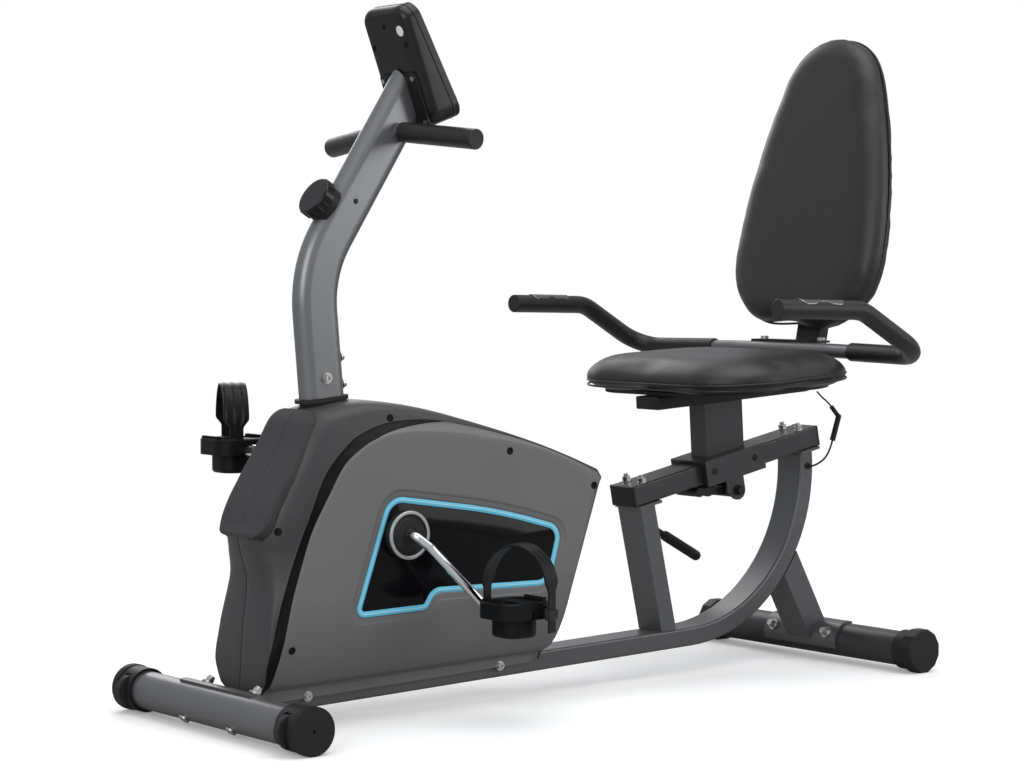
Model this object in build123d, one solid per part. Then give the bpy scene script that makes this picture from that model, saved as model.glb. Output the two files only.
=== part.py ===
from build123d import *
from math import asin, atan2, cos, degrees, hypot, pi, radians, sin, tan
import os

# Recumbent magnetic exercise bike.  Millimetres.  +Z is up, the floor is z = 0, the rider faces -X
# and the rider's left side is -Y.  Lengths along X are written from the front stabiliser's axis,
# and every piece is moved at the end so that the origin is under the middle of the whole bike.

# ---------------------------------------------------------------- driving dimensions
# stabilisers and their end caps
stab_r = 30.0                 # round tube of both stabilisers
stab_wall = 2.0
front_axis_z = 36.5           # front tube axis above the floor, and the front caps' radius
rear_axis_x = 1257.0
rear_axis_z = 37.5            # rear tube axis above the floor, and the levelling caps' inner radius
front_half = 260.0            # half width over the front caps
rear_half = 271.0             # half width over the rear caps
cap_disc = 14.0               # thick outer disc of a front cap
cap_sleeve = 38.0             # part of a front cap that slides over the tube
level_sleeve = 20.0
level_disc = 24.0
level_offset = 4.0            # the levelling caps are off centre by this much
saddle_t = 4.0
front_saddle_half = 100.0
rear_saddle_half = 90.0
stab_bolt_y = 67.0
bolt_r = 4.0                  # M8 screws of the frame

# flat frame tubes
flat_w = 60.0
flat_t = 32.0
tube_wall = 2.0
tube_corner = 4.0
riser_z = 346.0
riser_r = 281.0               # centre line radius of the bend
riser_in = 21.4               # the riser's middle stands this far ahead of the rail's rear end
leg_foot_x = 884.0
leg_lean = 12.8               # degrees, top towards the front
strut_foot_x = 1232.0
strut_lean = 29.0
strut_t = 46.0

# seat rail
rail_angle = 11.4             # degrees, rear end higher
rail_front_x = 805.0
rail_front_top = 331.5
rail_length = 436.0
riser_x = rail_front_x + rail_length * cos(radians(rail_angle)) - riser_in - riser_r
rail_w = 60.0
rail_h = 36.0
rail_cap_t = 6.0
flange_t = 5.0
flange_over = 4.0             # a flange stands out this far round its tube
riser_flange_half = 22.0      # along the rail
leg_flange_half = 24.0
rail_bolt_y = 20.0
rail_bolt_in = 26.0           # front studs from the rail's front end
rail_bolt_back = 34.0         # rear studs from the rail's rear end

# mast
mast_w = 76.0
mast_t = 38.0
mast_wall = 2.0
mast_foot_x = 190.0           # centre line where the mast meets the housing
mast_foot_z = 497.0
mast_lean = 5.0               # lower part, degrees towards the front
mast_rise = 33.0              # upper part, degrees towards the rider
mast_corner_z = 698.0
mast_bend_r = 190.0
mast_top_z = 974.0
spigot_gap = 0.3
spigot_len = 95.0
gasket_t = 5.0
gasket_over = 7.0

# front handlebar
bar_r = 12.5
bar_wall = 1.5
grip_r = 16.0
front_bar_x = 325.0
front_bar_z = 917.0
front_bar_half = 191.0
front_bar_sweep = 19.0
front_bar_droop = 19.0
front_bar_r = 60.0             # centre line radius of its bend
front_grip_start = 27.0
grip_cap_t = 3.0

# tension knob
knob_up = 99.0                # along the mast from its bend corner
knob_r = 33.0
knob_h = 18.0
knob_base_h = 5.0
knob_gap = 0.5
knob_ribs = 18
knob_rib_r = 2.2
knob_stem_r = 4.0

# console
console_w = 116.0
console_top = (300.0, 1106.0)         # top corner of the back face
console_bottom = (369.0, 922.0)       # bottom corner of the back face
console_top_t = 31.0
console_bottom_t = 58.0
console_wall = 2.5
bezel_t = 12.0
lens_w = 84.0
lens_h = 62.0
lens_t = 2.0
button_r = 8.0
button_h = 9.0
button_y = 46.0
button_up = 30.0              # the buttons above the display face's low edge
button_out = 4.5
button_collar = 1.0
lens_up = 128.0
bracket_t = 3.0
bracket_w = 94.0

# housing
panel_y = 95.0                # the flat side panels
shoulder_y = 75.0
crown_y = 58.0
tuck_y = 75.0                 # the panels' half width at the tuck's low edge
tuck_drop = 69.0
shell_wall = 3.0
nose_half = 68.0
nose_edge = 5.0               # rounding of the nose panel's sides
tuck_top_z = 175.0            # the panels turn in below this height, at the housing's front
tuck_slope = 4.0              # and this many degrees higher towards the rear
skirt_y = 36.0                # outside of the skirt beside the main tube
skirt_z = 62.0
tube_gap = 0.4
window_t = 2.5
shell_bolt_x = (138.0, 512.0)
shell_bolt_up = 4.0           # above the main tube's centre line

# drive
crank_x = 281.5
crank_z = 289.5
crank_len = 165.0
crank_angle = 46.0            # left arm below the horizontal, towards the rear
arm_root_y = 112.0            # the arm starts on the end of the axle
arm_end_y = 155.0             # middle of the arm at the pedal
arm_r = 7.5                   # round bar
arm_out = 8.0                 # straight part before the first bend
arm_knee = 26.0               # the second bend, along the arm
arm_knee_out = 24.0           # the second bend, out from the root
arm_bend_r = 12.0
arm_eye_r = 12.0
arm_eye_t = 16.0
axle_r = 8.5
bb_r = 21.0                   # bottom bracket shell
bb_half = 34.0
bearing_w = 11.0
disc_r = 38.0
disc_t = 13.0                 # a hub cover stands out this far from the side panel
pulley_r = 115.0
belt_y = 42.0
belt_w = 12.0
belt_t = 3.0
flywheel_x = 455.0
flywheel_z = 250.0
flywheel_r = 125.0
flywheel_w = 22.0
flywheel_y = -10.0
flywheel_axle_r = 6.0
small_pulley_r = 20.0
fork_left_y = -36.0
fork_right_y = 56.0
fork_t = 4.0
fork_foot_y = 26.0
fork_arm_half = 16.0
magnet_gap = 3.0
magnet_t = 4.0
magnet_back = 4.0
arm_pin_angle = 28.0          # the magnet arm's pin, degrees round the flywheel's axle
arm_tip_angle = 96.0
running = 0.05                # radial clearance of a turning fit

# pedals
spindle_r = 5.5
pedal_in = 176.0              # inner face of the pedal
pedal_w = 90.0                # across, along the spindle
pedal_l = 94.0
pedal_corner = 30.0
pedal_tread_step = 10.5       # between two studs
pedal_tread_rows = 5
pedal_top = 20.0              # platform above the spindle
pedal_low = 6.0               # platform below the spindle
pedal_weight = 36.0           # bottom of the weighted body below the spindle
tread_h = 4.0
strap_w = 42.0                # width of the arch
strap_leg_w = 24.0
strap_t = 3.0
strap_rise = 108.0            # top of the strap above the spindle
strap_foot = 12.0             # its ends above the spindle
strap_knee = 40.0             # its arch starts at this height
strap_turn = 25.0             # degrees, its outer end is nearer to the heel
strap_out = 9.0               # its middle is outside the pedal's by this much
strap_half = 57.0             # half its span
strap_tail = 26.0             # its free end hangs this far below the spindle

# seat carriage
carriage_x = 954.0            # front top edge of the sleeve
carriage_len = 138.0          # along the rail
carriage_half = 45.0
carriage_t = 3.0
pad_gap = 0.3                 # sliding clearance of the nylon pads on the rail
top_pad = 2.6
side_drop = 3.0               # the sleeve's sides reach this far below the rail
lug_back = 69.0               # lock shaft behind the sleeve's front edge, along the rail
lug_drop = 26.0               # lock shaft below the rail's underside
lug_r = 17.0
pad_len = 44.0
lug_y = 36.0                  # inside of the lug plates
lug_t = 5.0
shaft_r = 6.0
lever_r = 6.0
lever_y = 170.0
lever_radii = [24.0, 22.0, 24.0]
post_w = 88.0
post_t = 40.0
post_x = 1016.0               # middle of the post under the seat
# seat
seat_tilt = 3.5               # degrees, rear higher
seat_x = 1017.0
seat_z = 496.5                # underside of the cushion at its middle
seat_len = 332.0
seat_w = 436.0
seat_corner = 110.0
seat_t = 57.0
seat_side = 20.0              # upright part of the cushion's side
seat_dome = 90.0              # the top falls over this width, inside the edge
seat_foot = 6.0               # the underside's edge is drawn in by this much
board_t = 6.0
board_in = 30.0
frame_t = 22.0                # flat tube that carries the seat and the backrest
frame_front = 158.0           # ahead of the cushion's middle
back_lean = 12.0
back_post_x = 1232.0
back_post_top = 800.0
# backrest
back_bottom_z = 595.0
back_len = 518.0
back_t = 44.0
back_wide = 177.0             # greatest half width
back_top_half = 78.0
# seat handlebar
arm_y = 341.0
bend_out = 15.0               # the arms' bends are wider than the grips' ends by this much
low_out = 19.0
handle_radii = [70.0, 56.0, 160.0, 160.0, 56.0, 70.0]
rear_grip_in = 176.0          # the sleeves stop this far from the middle, along the tube
arm_front_x = 840.0
arm_front_z = 636.0
arm_bend_x = 1014.0
arm_low_x = 1154.0
arm_low_z = 553.0
cross_x = 1183.0
cross_z = 556.0
cross_y = 120.0
clamp_y = 72.0
clamp_w = 168.0
clamp_t = 4.0
shelf_front = 2.0             # the shelf and the clamp plate start this far ahead of the cross bar
shelf_back = 30.0
clamp_bolt_x = cross_x + bar_r + 8

# transport wheels
wheel_r = 24.0
wheel_w = 13.0
wheel_x = -22.0
wheel_in = 32.0               # middle of a wheel inside the cap's outer face
wheel_y = front_half - wheel_in
wheel_gap = 1.5               # free room on each side of a wheel in its slot
wheel_room = 2.5              # free room round a wheel
wheel_pin_r = 4.0

# pulse sensor lead
lead_r = 1.75
wire_r = 1.5
plug_r = 5.0
plug_y = -46.0
riser_side_x = riser_x + riser_r + 2.0  # the lead leaves the riser near its middle line
plug_low = Vector(riser_side_x + 46, plug_y, 392)
plug_high = Vector(riser_side_x + 61, plug_y, 434)
plug_exit = Vector(riser_side_x + 43, plug_y, 452)
grommet_x = riser_side_x
grommet_z = 347.0
grommet_r = 6.0
grommet_t = 3.0
wire_top = 480.0              # the wire ends at the seat frame

parts = {}


# ---------------------------------------------------------------- helpers
def side_prism(face, y_low, y_high):
    """A face drawn in (x, z), as a solid between two Y values."""
    return Pos(0, y_high, 0) * extrude(Plane.XZ * face, amount=y_high - y_low)


def polygon(points):
    """A closed face through points."""
    return make_face(Polyline(*points, close=True))


def rounded(corners):
    """A closed face through (x, z, radius) corners, each rounded by its own arc."""
    count = len(corners)
    edges = []
    last = None
    first = None
    for index, (x, z, radius) in enumerate(corners):
        before = Vector(*corners[index - 1][:2])
        here = Vector(x, z)
        after = Vector(*corners[(index + 1) % count][:2])
        into = (before - here).normalized()
        out = (after - here).normalized()
        half = radians(into.get_angle(out)) / 2
        reach = radius / tan(half)
        start = here + into * reach
        end = here + out * reach
        middle = here + (into + out).normalized() * (radius / sin(half) - radius)
        if last is None:
            first = start
        else:
            edges.append(Line(last, start))
        edges.append(ThreePointArc(start, middle, end))
        last = end
    edges.append(Line(last, first))
    return make_face(edges)


def rod_y(x, z, radius, y_low, y_high):
    """A round bar along Y."""
    bar = Cylinder(radius, y_high - y_low, rotation=(90, 0, 0))
    return Pos(x, (y_low + y_high) / 2, z) * bar


def rod(start, end, radius):
    """A round bar between two points."""
    start, end = Vector(*start), Vector(*end)
    base = Plane(origin=start, z_dir=end - start)
    return base * Cylinder(radius, (end - start).length, align=(Align.CENTER, Align.CENTER, Align.MIN))


def box(x_low, x_high, y_low, y_high, z_low, z_high):
    """A box between its low and high corners."""
    size = (x_high - x_low, y_high - y_low, z_high - z_low)
    middle = Pos((x_low + x_high) / 2, (y_low + y_high) / 2, (z_low + z_high) / 2)
    return middle * Box(*size)


def mirrored(shape):
    """The same piece on the other side of the bike."""
    return mirror(shape, about=Plane.XZ)


def joined(*shapes):
    """Pieces of one kind in one node, kept as separate solids."""
    return Compound(children=[solid for shape in shapes for solid in shape.solids()])


def both_sides(shape):
    """A left and a right copy, kept as separate solids."""
    return Compound(children=list(shape.solids()) + list(mirrored(shape).solids()))


def swept_round(points, radii, radius, wall=0.0):
    """A round bar or tube along straight runs joined by tangent arcs."""
    path = FilletPolyline(*points, radius=radii)
    start = Plane(origin=path @ 0, z_dir=path % 0)
    section = Circle(radius) - Circle(radius - wall) if wall else Circle(radius)
    return sweep(start * section, path=path)


def swept_flat(path, section, across):
    """A flat tube along a path in the XZ plane; across is the section's own X direction."""
    start = Plane(origin=path @ 0, x_dir=across, z_dir=path % 0)
    return sweep(start * section, path=path)


def cord_radii(points):
    """The largest tangent arc for each corner of a lead: 0.45 of its shorter run."""
    spots = [Vector(*point) for point in points]
    radii = []
    for before, here, after in zip(spots, spots[1:], spots[2:]):
        turn = radians((here - before).get_angle(after - here))
        shorter = min((here - before).length, (after - here).length)
        radii.append(0.45 * shorter / tan(turn / 2))
    return radii


def cord_tube(name, points, radius):
    """A lead along its route, with its bends and its volume printed beside section times length."""
    radii = cord_radii(points)
    path = FilletPolyline(*points, radius=radii)
    tube = swept_round(points, radii, radius)
    print(name, "length", round(path.length, 1), "radii", [round(r, 1) for r in radii],
          "volume", round(tube.volume), "section x length", round(pi * radius ** 2 * path.length))
    return tube


def hex_nut(x, y, z, axis, across, height):
    """A domed hexagon nut standing on a point, along axis."""
    seat = Plane(origin=(x, y, z), z_dir=axis)
    body = extrude(seat * RegularPolygon(across / 2, 6, major_radius=False), amount=height * 0.6)
    dome = seat * Pos(0, 0, height * 0.6) * Cylinder(
        across * 0.44, height * 0.4, align=(Align.CENTER, Align.CENTER, Align.MIN))
    return body + dome


# ---------------------------------------------------------------- frame lines
# The main tube's centre line runs from the front stabiliser's axis as a tangent to the riser's bend.
to_bend = hypot(riser_x, riser_z - front_axis_z)
base_angle = degrees(atan2(riser_z - front_axis_z, riser_x) - asin(riser_r / to_bend))
base_slope = tan(radians(base_angle))
rail_slope = tan(radians(rail_angle))
rail_dir = Vector(cos(radians(rail_angle)), 0, sin(radians(rail_angle)))


def base_mid(x):
    """Height of the main tube's centre line."""
    return front_axis_z + base_slope * x


def base_top(x):
    return base_mid(x) + flat_t / 2 / cos(radians(base_angle))


def base_low(x):
    return base_mid(x) - flat_t / 2 / cos(radians(base_angle))


def rail_top(x):
    """Height of the rail's top face."""
    return rail_front_top + rail_slope * (x - rail_front_x)


def rail_low(x, below=0.0):
    """Height of the rail's underside, or of a face this far below it."""
    return rail_top(x) - (rail_h + below) / cos(radians(rail_angle))


rail_plane = Plane(origin=(rail_front_x, 0, rail_front_top), x_dir=rail_dir, z_dir=(-rail_dir.Z, 0, rail_dir.X))


def on_rail(along, y, up):
    """A point in the rail's own axes, measured from its front top edge."""
    return rail_plane.from_local_coords(Vector(along, y, up))


def along_rail(x_low, x_high, y_low, y_high, up_low, up_high):
    """A box in the rail's own axes."""
    return rail_plane * box(x_low, x_high, y_low, y_high, up_low, up_high)


# ---------------------------------------------------------------- frame
def tube_section(width, thick, wall, corner):
    """A rounded rectangular tube's section."""
    inner = RectangleRounded(width - 2 * wall, thick - 2 * wall, max(corner - wall, 0.5))
    return RectangleRounded(width, thick, corner) - inner


def under_rail():
    """Everything above the frame flanges' underside."""
    low = rail_h + flange_t
    return along_rail(-200, rail_length + 300, -200, 200, -low, 300)


def flange(middle_x, half_length):
    """A plate welded on a tube's end, that the rail is bolted to."""
    along = (middle_x - rail_front_x) / rail_dir.X
    half_w = flat_w / 2 + flange_over
    plate = along_rail(along - half_length, along + half_length, -half_w, half_w,
                       -rail_h - flange_t, -rail_h)
    return plate


def stud_holes():
    """Clearance holes of the rail's studs in both flanges."""
    return joined(*[rail_plane * Pos(along, y, -rail_h - flange_t / 2) * Cylinder(bolt_r, 2 * flange_t)
                    for along, y in rail_bolt_spots()])


def saddle(axis_x, axis_z, start, end, half):
    """A curved plate against a stabiliser, between two angles in degrees from +X towards +Z."""
    inner = stab_r
    outer = inner + saddle_t
    arc = range(0, 5)
    angles = [radians(start + (end - start) * step / 4) for step in arc]
    sector = [(axis_x, axis_z)] + [(axis_x + 3 * outer * cos(a), axis_z + 3 * outer * sin(a)) for a in angles]
    ring = Pos(axis_x, axis_z) * (Circle(outer) - Circle(inner))
    return side_prism(ring & polygon(sector), -half, half)


def main_frame_tube():
    """Flat tube from the front saddle, along the floor and up through the riser's bend."""
    start_x = stab_r
    tangent = radians(base_angle - 90)
    touch = (riser_x + riser_r * cos(tangent), riser_z + riser_r * sin(tangent))
    stop = radians(14)
    last = (riser_x + riser_r * cos(stop), riser_z + riser_r * sin(stop))
    between = (tangent + stop) / 2
    middle = (riser_x + riser_r * cos(between), riser_z + riser_r * sin(between))
    line = Line((start_x * 0.9, 0, base_mid(start_x * 0.9)), (touch[0], 0, touch[1]))
    bend = ThreePointArc((touch[0], 0, touch[1]), (middle[0], 0, middle[1]), (last[0], 0, last[1]))
    tube = swept_flat(line + bend, tube_section(flat_w, flat_t, tube_wall, tube_corner), (0, 1, 0))
    tube -= under_rail()
    tube -= rod_y(0, front_axis_z, stab_r + saddle_t, -flat_w, flat_w)
    tube += flange(riser_top_x(), riser_flange_half)
    tube -= stud_holes()
    for x in shell_bolt_x:
        tube -= rod_y(x, base_mid(x) + shell_bolt_up, bolt_r, -flat_w, flat_w)
    return tube + saddle(0, front_axis_z, -32, 104, front_saddle_half) - stabiliser_holes(0, front_axis_z, 50)


def riser_top_x():
    """Where the riser's centre line reaches its flange."""
    rise = rail_low(riser_x + riser_r, flange_t) - riser_z
    return riser_x + (riser_r ** 2 - rise ** 2) ** 0.5


def main_tube_under():
    """All that lies below the main tube's upper face, along the floor and round the bend."""
    floor = polygon([(0, base_top(0)), (riser_x, base_top(riser_x)), (riser_x, -100), (0, -100)])
    outside = Pos(riser_x, riser_z) * (Rectangle(2 * riser_r, 2 * riser_r, align=(Align.MIN, Align.MAX))
                                       - Circle(riser_r - flat_t / 2))
    return floor + outside


def rail_leg():
    """Front leg of the seat rail, with its flange."""
    lean = radians(leg_lean)
    up = Vector(-sin(lean), cos(lean))
    across = Vector(cos(lean), sin(lean)) * (flat_t / 2)
    foot = Vector(leg_foot_x, base_top(leg_foot_x))
    low, high = foot - up * 40, foot + up * 300
    outline = polygon([low - across, low + across, high + across, high - across])
    inside = across * ((flat_t - 2 * tube_wall) / flat_t)
    hollow = polygon([low - inside, low + inside, high + inside, high - inside])
    half, gap = flat_w / 2, flat_w / 2 - tube_wall
    leg = side_prism(outline, -half, half) - side_prism(hollow, -gap, gap)
    leg -= side_prism(main_tube_under(), -100, 100)
    leg -= under_rail()
    rise = rail_low(leg_foot_x, flange_t) - foot.Y
    top_x = leg_foot_x - rise * tan(lean)
    return leg + flange(top_x, leg_flange_half) - stud_holes()


def rear_strut():
    """Brace from the riser down to the rear stabiliser, with the rear saddle."""
    lean = radians(strut_lean)
    up = Vector(-sin(lean), cos(lean))
    across = Vector(cos(lean), sin(lean)) * (strut_t / 2)
    foot = Vector(strut_foot_x, rear_axis_z + stab_r)
    low, high = foot - up * 60, foot + up * 260
    outline = polygon([low - across, low + across, high + across, high - across])
    inside = across * ((strut_t - 2 * tube_wall) / strut_t)
    hollow = polygon([low - inside, low + inside, high + inside, high - inside])
    half, gap = flat_w / 2, flat_w / 2 - tube_wall
    strut = side_prism(outline, -half, half) - side_prism(hollow, -gap, gap)
    strut -= rod_y(rear_axis_x, rear_axis_z, stab_r + saddle_t, -100, 100)
    strut -= rod_y(riser_x, riser_z, riser_r + flat_t / 2, -100, 100)
    strut = Compound(children=[max(strut.solids(), key=lambda s: s.volume)])
    strut += saddle(rear_axis_x, rear_axis_z, 72, 202, rear_saddle_half)
    return strut - stabiliser_holes(rear_axis_x, rear_axis_z, 156)


def bolt_line(axis_x, axis_z, angle, y, reach):
    """A point on a stabiliser bolt's line, this far from the tube's axis."""
    a = radians(angle)
    return (axis_x + reach * cos(a), y, axis_z + reach * sin(a))


def stabiliser_holes(axis_x, axis_z, angle):
    """Clearance holes of one stabiliser's two bolts."""
    far = stab_r + saddle_t + 20
    holes = [rod(bolt_line(axis_x, axis_z, angle, y, -far), bolt_line(axis_x, axis_z, angle, y, far), bolt_r)
             for y in (-stab_bolt_y, stab_bolt_y)]
    return holes[0] + holes[1]


def stabiliser_tube(axis_x, axis_z, half, angle):
    tube = rod_y(axis_x, axis_z, stab_r, -half, half) - rod_y(axis_x, axis_z, stab_r - stab_wall, -half, half)
    return tube - stabiliser_holes(axis_x, axis_z, angle)


def stabiliser_bolts():
    """Carriage bolts through both stabilisers, each with a curved washer and a domed nut."""
    solids = []
    for axis_x, axis_z, angle in ((0, front_axis_z, 50), (rear_axis_x, rear_axis_z, 156)):
        washer_top = stab_r + saddle_t + 2.5
        for y in (-stab_bolt_y, stab_bolt_y):
            line = [bolt_line(axis_x, axis_z, angle, y, r) for r in (-stab_r, washer_top, washer_top + 12)]
            axis = Vector(*line[1]) - Vector(*line[0])
            shank = rod(line[0], line[1], bolt_r)
            head = Plane(origin=line[0], z_dir=-axis) * Cylinder(
                9, 3, align=(Align.CENTER, Align.CENTER, Align.MIN))
            head += Plane(origin=line[0], z_dir=axis) * Cylinder(
                bolt_r, 8, align=(Align.CENTER, Align.CENTER, Align.MIN))
            washer = rod(bolt_line(axis_x, axis_z, angle, y, stab_r + saddle_t), line[1], 10)
            washer -= rod_y(axis_x, axis_z, stab_r + saddle_t, y - 20, y + 20)
            nut = hex_nut(*line[1], axis, 13, 11)
            solids += (shank + head + washer + nut).solids()
    return Compound(children=solids)


def front_caps():
    """End caps of the front stabiliser, each with the slot of a transport wheel in its front."""
    sleeve_in = front_half - cap_disc - cap_sleeve
    sleeve = rod_y(0, front_axis_z, front_axis_z - 1.5, -front_half + cap_disc, -sleeve_in)
    teeth = 60
    disc = rod_y(0, front_axis_z, front_axis_z, -front_half, -front_half + cap_disc)
    notches = [rod_y(front_axis_z * cos(2 * pi * i / teeth), front_axis_z * (1 + sin(2 * pi * i / teeth)),
                     0.8, -front_half, -front_half + cap_disc) for i in range(teeth)]
    disc -= Compound(children=notches)
    disc -= rod_y(0, front_axis_z, 3, -front_half, -front_half + 3)
    cap = sleeve + disc
    cap -= rod_y(0, front_axis_z, stab_r, -front_half + cap_disc, 0)
    cap += rod_y(0, front_axis_z, stab_r - stab_wall - tube_gap / 2, -front_half + cap_disc, -wheel_y + 20)
    cap -= wheel_slot()
    pin = rod_y(wheel_x, front_axis_z, wheel_pin_r, -wheel_y - wheel_w / 2 - 4, -wheel_y + wheel_w / 2 + 4)
    return both_sides(cap + pin)


def wheel_slot():
    """Room of the left transport wheel."""
    half = wheel_w / 2 + wheel_gap
    return rod_y(wheel_x, front_axis_z, wheel_r + wheel_room, -wheel_y - half, -wheel_y + half)


def tube_notch():
    """The front tube is cut back behind each transport wheel."""
    return wheel_slot() + mirrored(wheel_slot())


def transport_wheel():
    """Left transport wheel."""
    wheel = rod_y(wheel_x, front_axis_z, wheel_r, -wheel_y - wheel_w / 2, -wheel_y + wheel_w / 2)
    wheel = fillet(wheel.edges(), 2.0)
    return wheel - rod_y(wheel_x, front_axis_z, wheel_pin_r + running, -front_half, 0)


def levelling_cap():
    """Left rear cap: turned on the tube, its off-centre twelve-sided disc levels the bike."""
    inner = rear_axis_z
    middle_x = rear_axis_x + level_offset
    disc_face = Rot(0, 0, 15) * RegularPolygon(inner, 12, major_radius=False)
    disc = Pos(0, -rear_half + level_disc, 0) * extrude(
        Plane.XZ * Pos(middle_x, inner) * disc_face, amount=level_disc)
    disc = chamfer(disc.faces().sort_by(Axis.Y)[0].edges(), 2.5)
    sleeve = rod_y(rear_axis_x, rear_axis_z, stab_r + 4, -rear_half + level_disc, -rear_half + level_disc + level_sleeve)
    plug_in = -rear_half + 6
    return disc + sleeve - rod_y(rear_axis_x, rear_axis_z, stab_r + running, plug_in, 0)


def seat_rail():
    """Straight rail that the seat carriage slides on."""
    half = rail_w / 2
    tube = along_rail(0, rail_length, -half, half, -rail_h, 0)
    tube = fillet(tube.edges().filter_by(lambda e: abs((e % 0.5).dot(rail_dir)) > 0.99), 3.0)
    wall = tube_wall
    tube -= along_rail(0, rail_length, -half + wall, half - wall, -rail_h + wall, -wall)
    for along, y in rail_bolt_spots():
        tube -= rail_plane * Pos(along, y, -rail_h / 2) * Cylinder(bolt_r, rail_h + 4)
    return tube


def rail_bolt_spots():
    ends = (rail_bolt_in, rail_length - rail_bolt_back)
    return [(along, y) for along in ends for y in (-rail_bolt_y, rail_bolt_y)]


def rail_end_caps():
    """Plastic plugs that close both ends of the rail."""
    half, wall = rail_w / 2, tube_wall
    caps = []
    for start, plug_start in ((-rail_cap_t, 0), (rail_length, rail_length - 15)):
        cap = along_rail(start, start + rail_cap_t, -half, half, -rail_h, 0)
        outer = -1 if start < 0 else 1
        rim = cap.faces().sort_by(lambda f: f.center().dot(rail_dir) * outer)[-1].edges()
        cap = fillet(rim, 3.0)
        cap += along_rail(plug_start, plug_start + 15, -half + wall, half - wall, -rail_h + wall, -wall)
        caps += cap.solids()
    return Compound(children=caps)


def rail_bolts():
    """Studs of the rail's flanges, with a nut and a washer on the rail's top."""
    solids = []
    for along, y in rail_bolt_spots():
        foot = on_rail(along, y, -rail_h - flange_t)
        up = Vector(-rail_dir.Z, 0, rail_dir.X)
        shank = rod(foot, foot + up * (rail_h + flange_t + 13), bolt_r)
        top = on_rail(along, y, 0)
        washer = rod(top, top + up * 1.6, 8)
        seat = Plane(origin=top + up * 1.6, z_dir=up)
        nut = extrude(seat * RegularPolygon(6.5, 6, major_radius=False), amount=6.5)
        solids += (shank + washer + nut).solids()
    return Compound(children=solids)


# ---------------------------------------------------------------- mast
mast_low_dir = Vector(-sin(radians(mast_lean)), 0, cos(radians(mast_lean)))
mast_up_dir = Vector(sin(radians(mast_rise)), 0, cos(radians(mast_rise)))
mast_front_dir = Vector(-cos(radians(mast_rise)), 0, sin(radians(mast_rise)))
mast_corner = Vector(mast_foot_x - tan(radians(mast_lean)) * (mast_corner_z - mast_foot_z), 0, mast_corner_z)
mast_end = mast_corner + mast_up_dir * ((mast_top_z - mast_corner_z) / mast_up_dir.Z)
mast_start = mast_corner - mast_low_dir * ((mast_corner_z - mast_foot_z) / mast_low_dir.Z)


def column_point(z):
    """A point of the mast's lower centre line."""
    return mast_corner + mast_low_dir * ((z - mast_corner_z) / mast_low_dir.Z)


def flat_oval(width, thick):
    return SlotOverall(width, thick)


def straight_oval(start, end, width, thick):
    """A solid flat oval bar whose long side lies along X."""
    up = (end - start).normalized()
    across = Vector(up.Z, 0, -up.X)
    base = Plane(origin=start, x_dir=across, z_dir=up)
    return extrude(base * flat_oval(width, thick), amount=(end - start).length)


def front_bar_path():
    side = (front_bar_x + front_bar_sweep, front_bar_half, front_bar_z - front_bar_droop)
    return [(side[0], -side[1], side[2]), (front_bar_x, 0, front_bar_z), side]


def console_back(z):
    """X of the console's back face at a height."""
    (top_x, top_z), (low_x, low_z) = console_top, console_bottom
    return low_x + (top_x - low_x) * (z - low_z) / (top_z - low_z)


def beyond_console_back():
    """Everything on the rider's side of the console bracket's back face."""
    high, low = 1300.0, 700.0
    push = bracket_t / cos(atan2(console_bottom[0] - console_top[0], console_top[1] - console_bottom[1]))
    edge = [(console_back(low) - push, low), (console_back(high) - push, high)]
    return side_prism(polygon(edge + [(900, high), (900, low)]), -100, 100)


def mast_tube():
    """Bent flat oval mast."""
    reach = mast_bend_r * tan(radians((mast_lean + mast_rise) / 2))
    bend_start = mast_corner - mast_low_dir * reach
    bend_end = mast_corner + mast_up_dir * reach
    top = mast_end + mast_up_dir * 90
    lower = Line(mast_start, bend_start)
    bend = TangentArc(bend_start, bend_end, tangent=mast_low_dir)
    upper = Line(bend_end, top)
    section = flat_oval(mast_w, mast_t) - flat_oval(mast_w - 2 * mast_wall, mast_t - 2 * mast_wall)
    across = Vector(mast_low_dir.Z, 0, -mast_low_dir.X)
    tube = swept_flat(lower + bend + upper, section, across)
    tube -= beyond_console_back()
    bar = swept_round(front_bar_path(), front_bar_r, bar_r)
    tube -= bar
    for y_side, spot in mast_bolt_spots():
        tube -= mast_bolt_hole(y_side, spot)
    knob_seat = knob_base_point()
    return tube - rod(knob_seat - mast_front_dir * 12, knob_seat + mast_front_dir * 20, knob_stem_r + running)


def mast_bolt_spots():
    """One screw in the left flat side and two in the rear edge."""
    return [("side", column_point(mast_foot_z + 35)),
            ("rear", column_point(mast_foot_z + 22)),
            ("rear", column_point(mast_foot_z + 64))]


def mast_bolt_line(where, spot, reach):
    if where == "side":
        return Vector(spot.X, -reach, spot.Z)
    return spot + Vector(mast_low_dir.Z, 0, -mast_low_dir.X) * reach


def mast_bolt_hole(where, spot):
    outer = (mast_t if where == "side" else mast_w) / 2
    return rod(mast_bolt_line(where, spot, outer - 12), mast_bolt_line(where, spot, outer + 20), bolt_r)


def mast_bolts():
    """Screws of the mast's foot, each with a curved washer."""
    solids = []
    for where, spot in mast_bolt_spots():
        outer = (mast_t if where == "side" else mast_w) / 2
        inner_end = mast_bolt_line(where, spot, outer - 8)
        face = mast_bolt_line(where, spot, outer)
        washer = rod(face, mast_bolt_line(where, spot, outer + 2), 9)
        head = rod(mast_bolt_line(where, spot, outer + 2), mast_bolt_line(where, spot, outer + 7), 6.5)
        screw = rod(inner_end, face, bolt_r) + washer + head
        screw -= rod(mast_bolt_line(where, spot, outer + 4), mast_bolt_line(where, spot, outer + 8), 2.5)
        solids += screw.solids()
    return Compound(children=solids)


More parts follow.
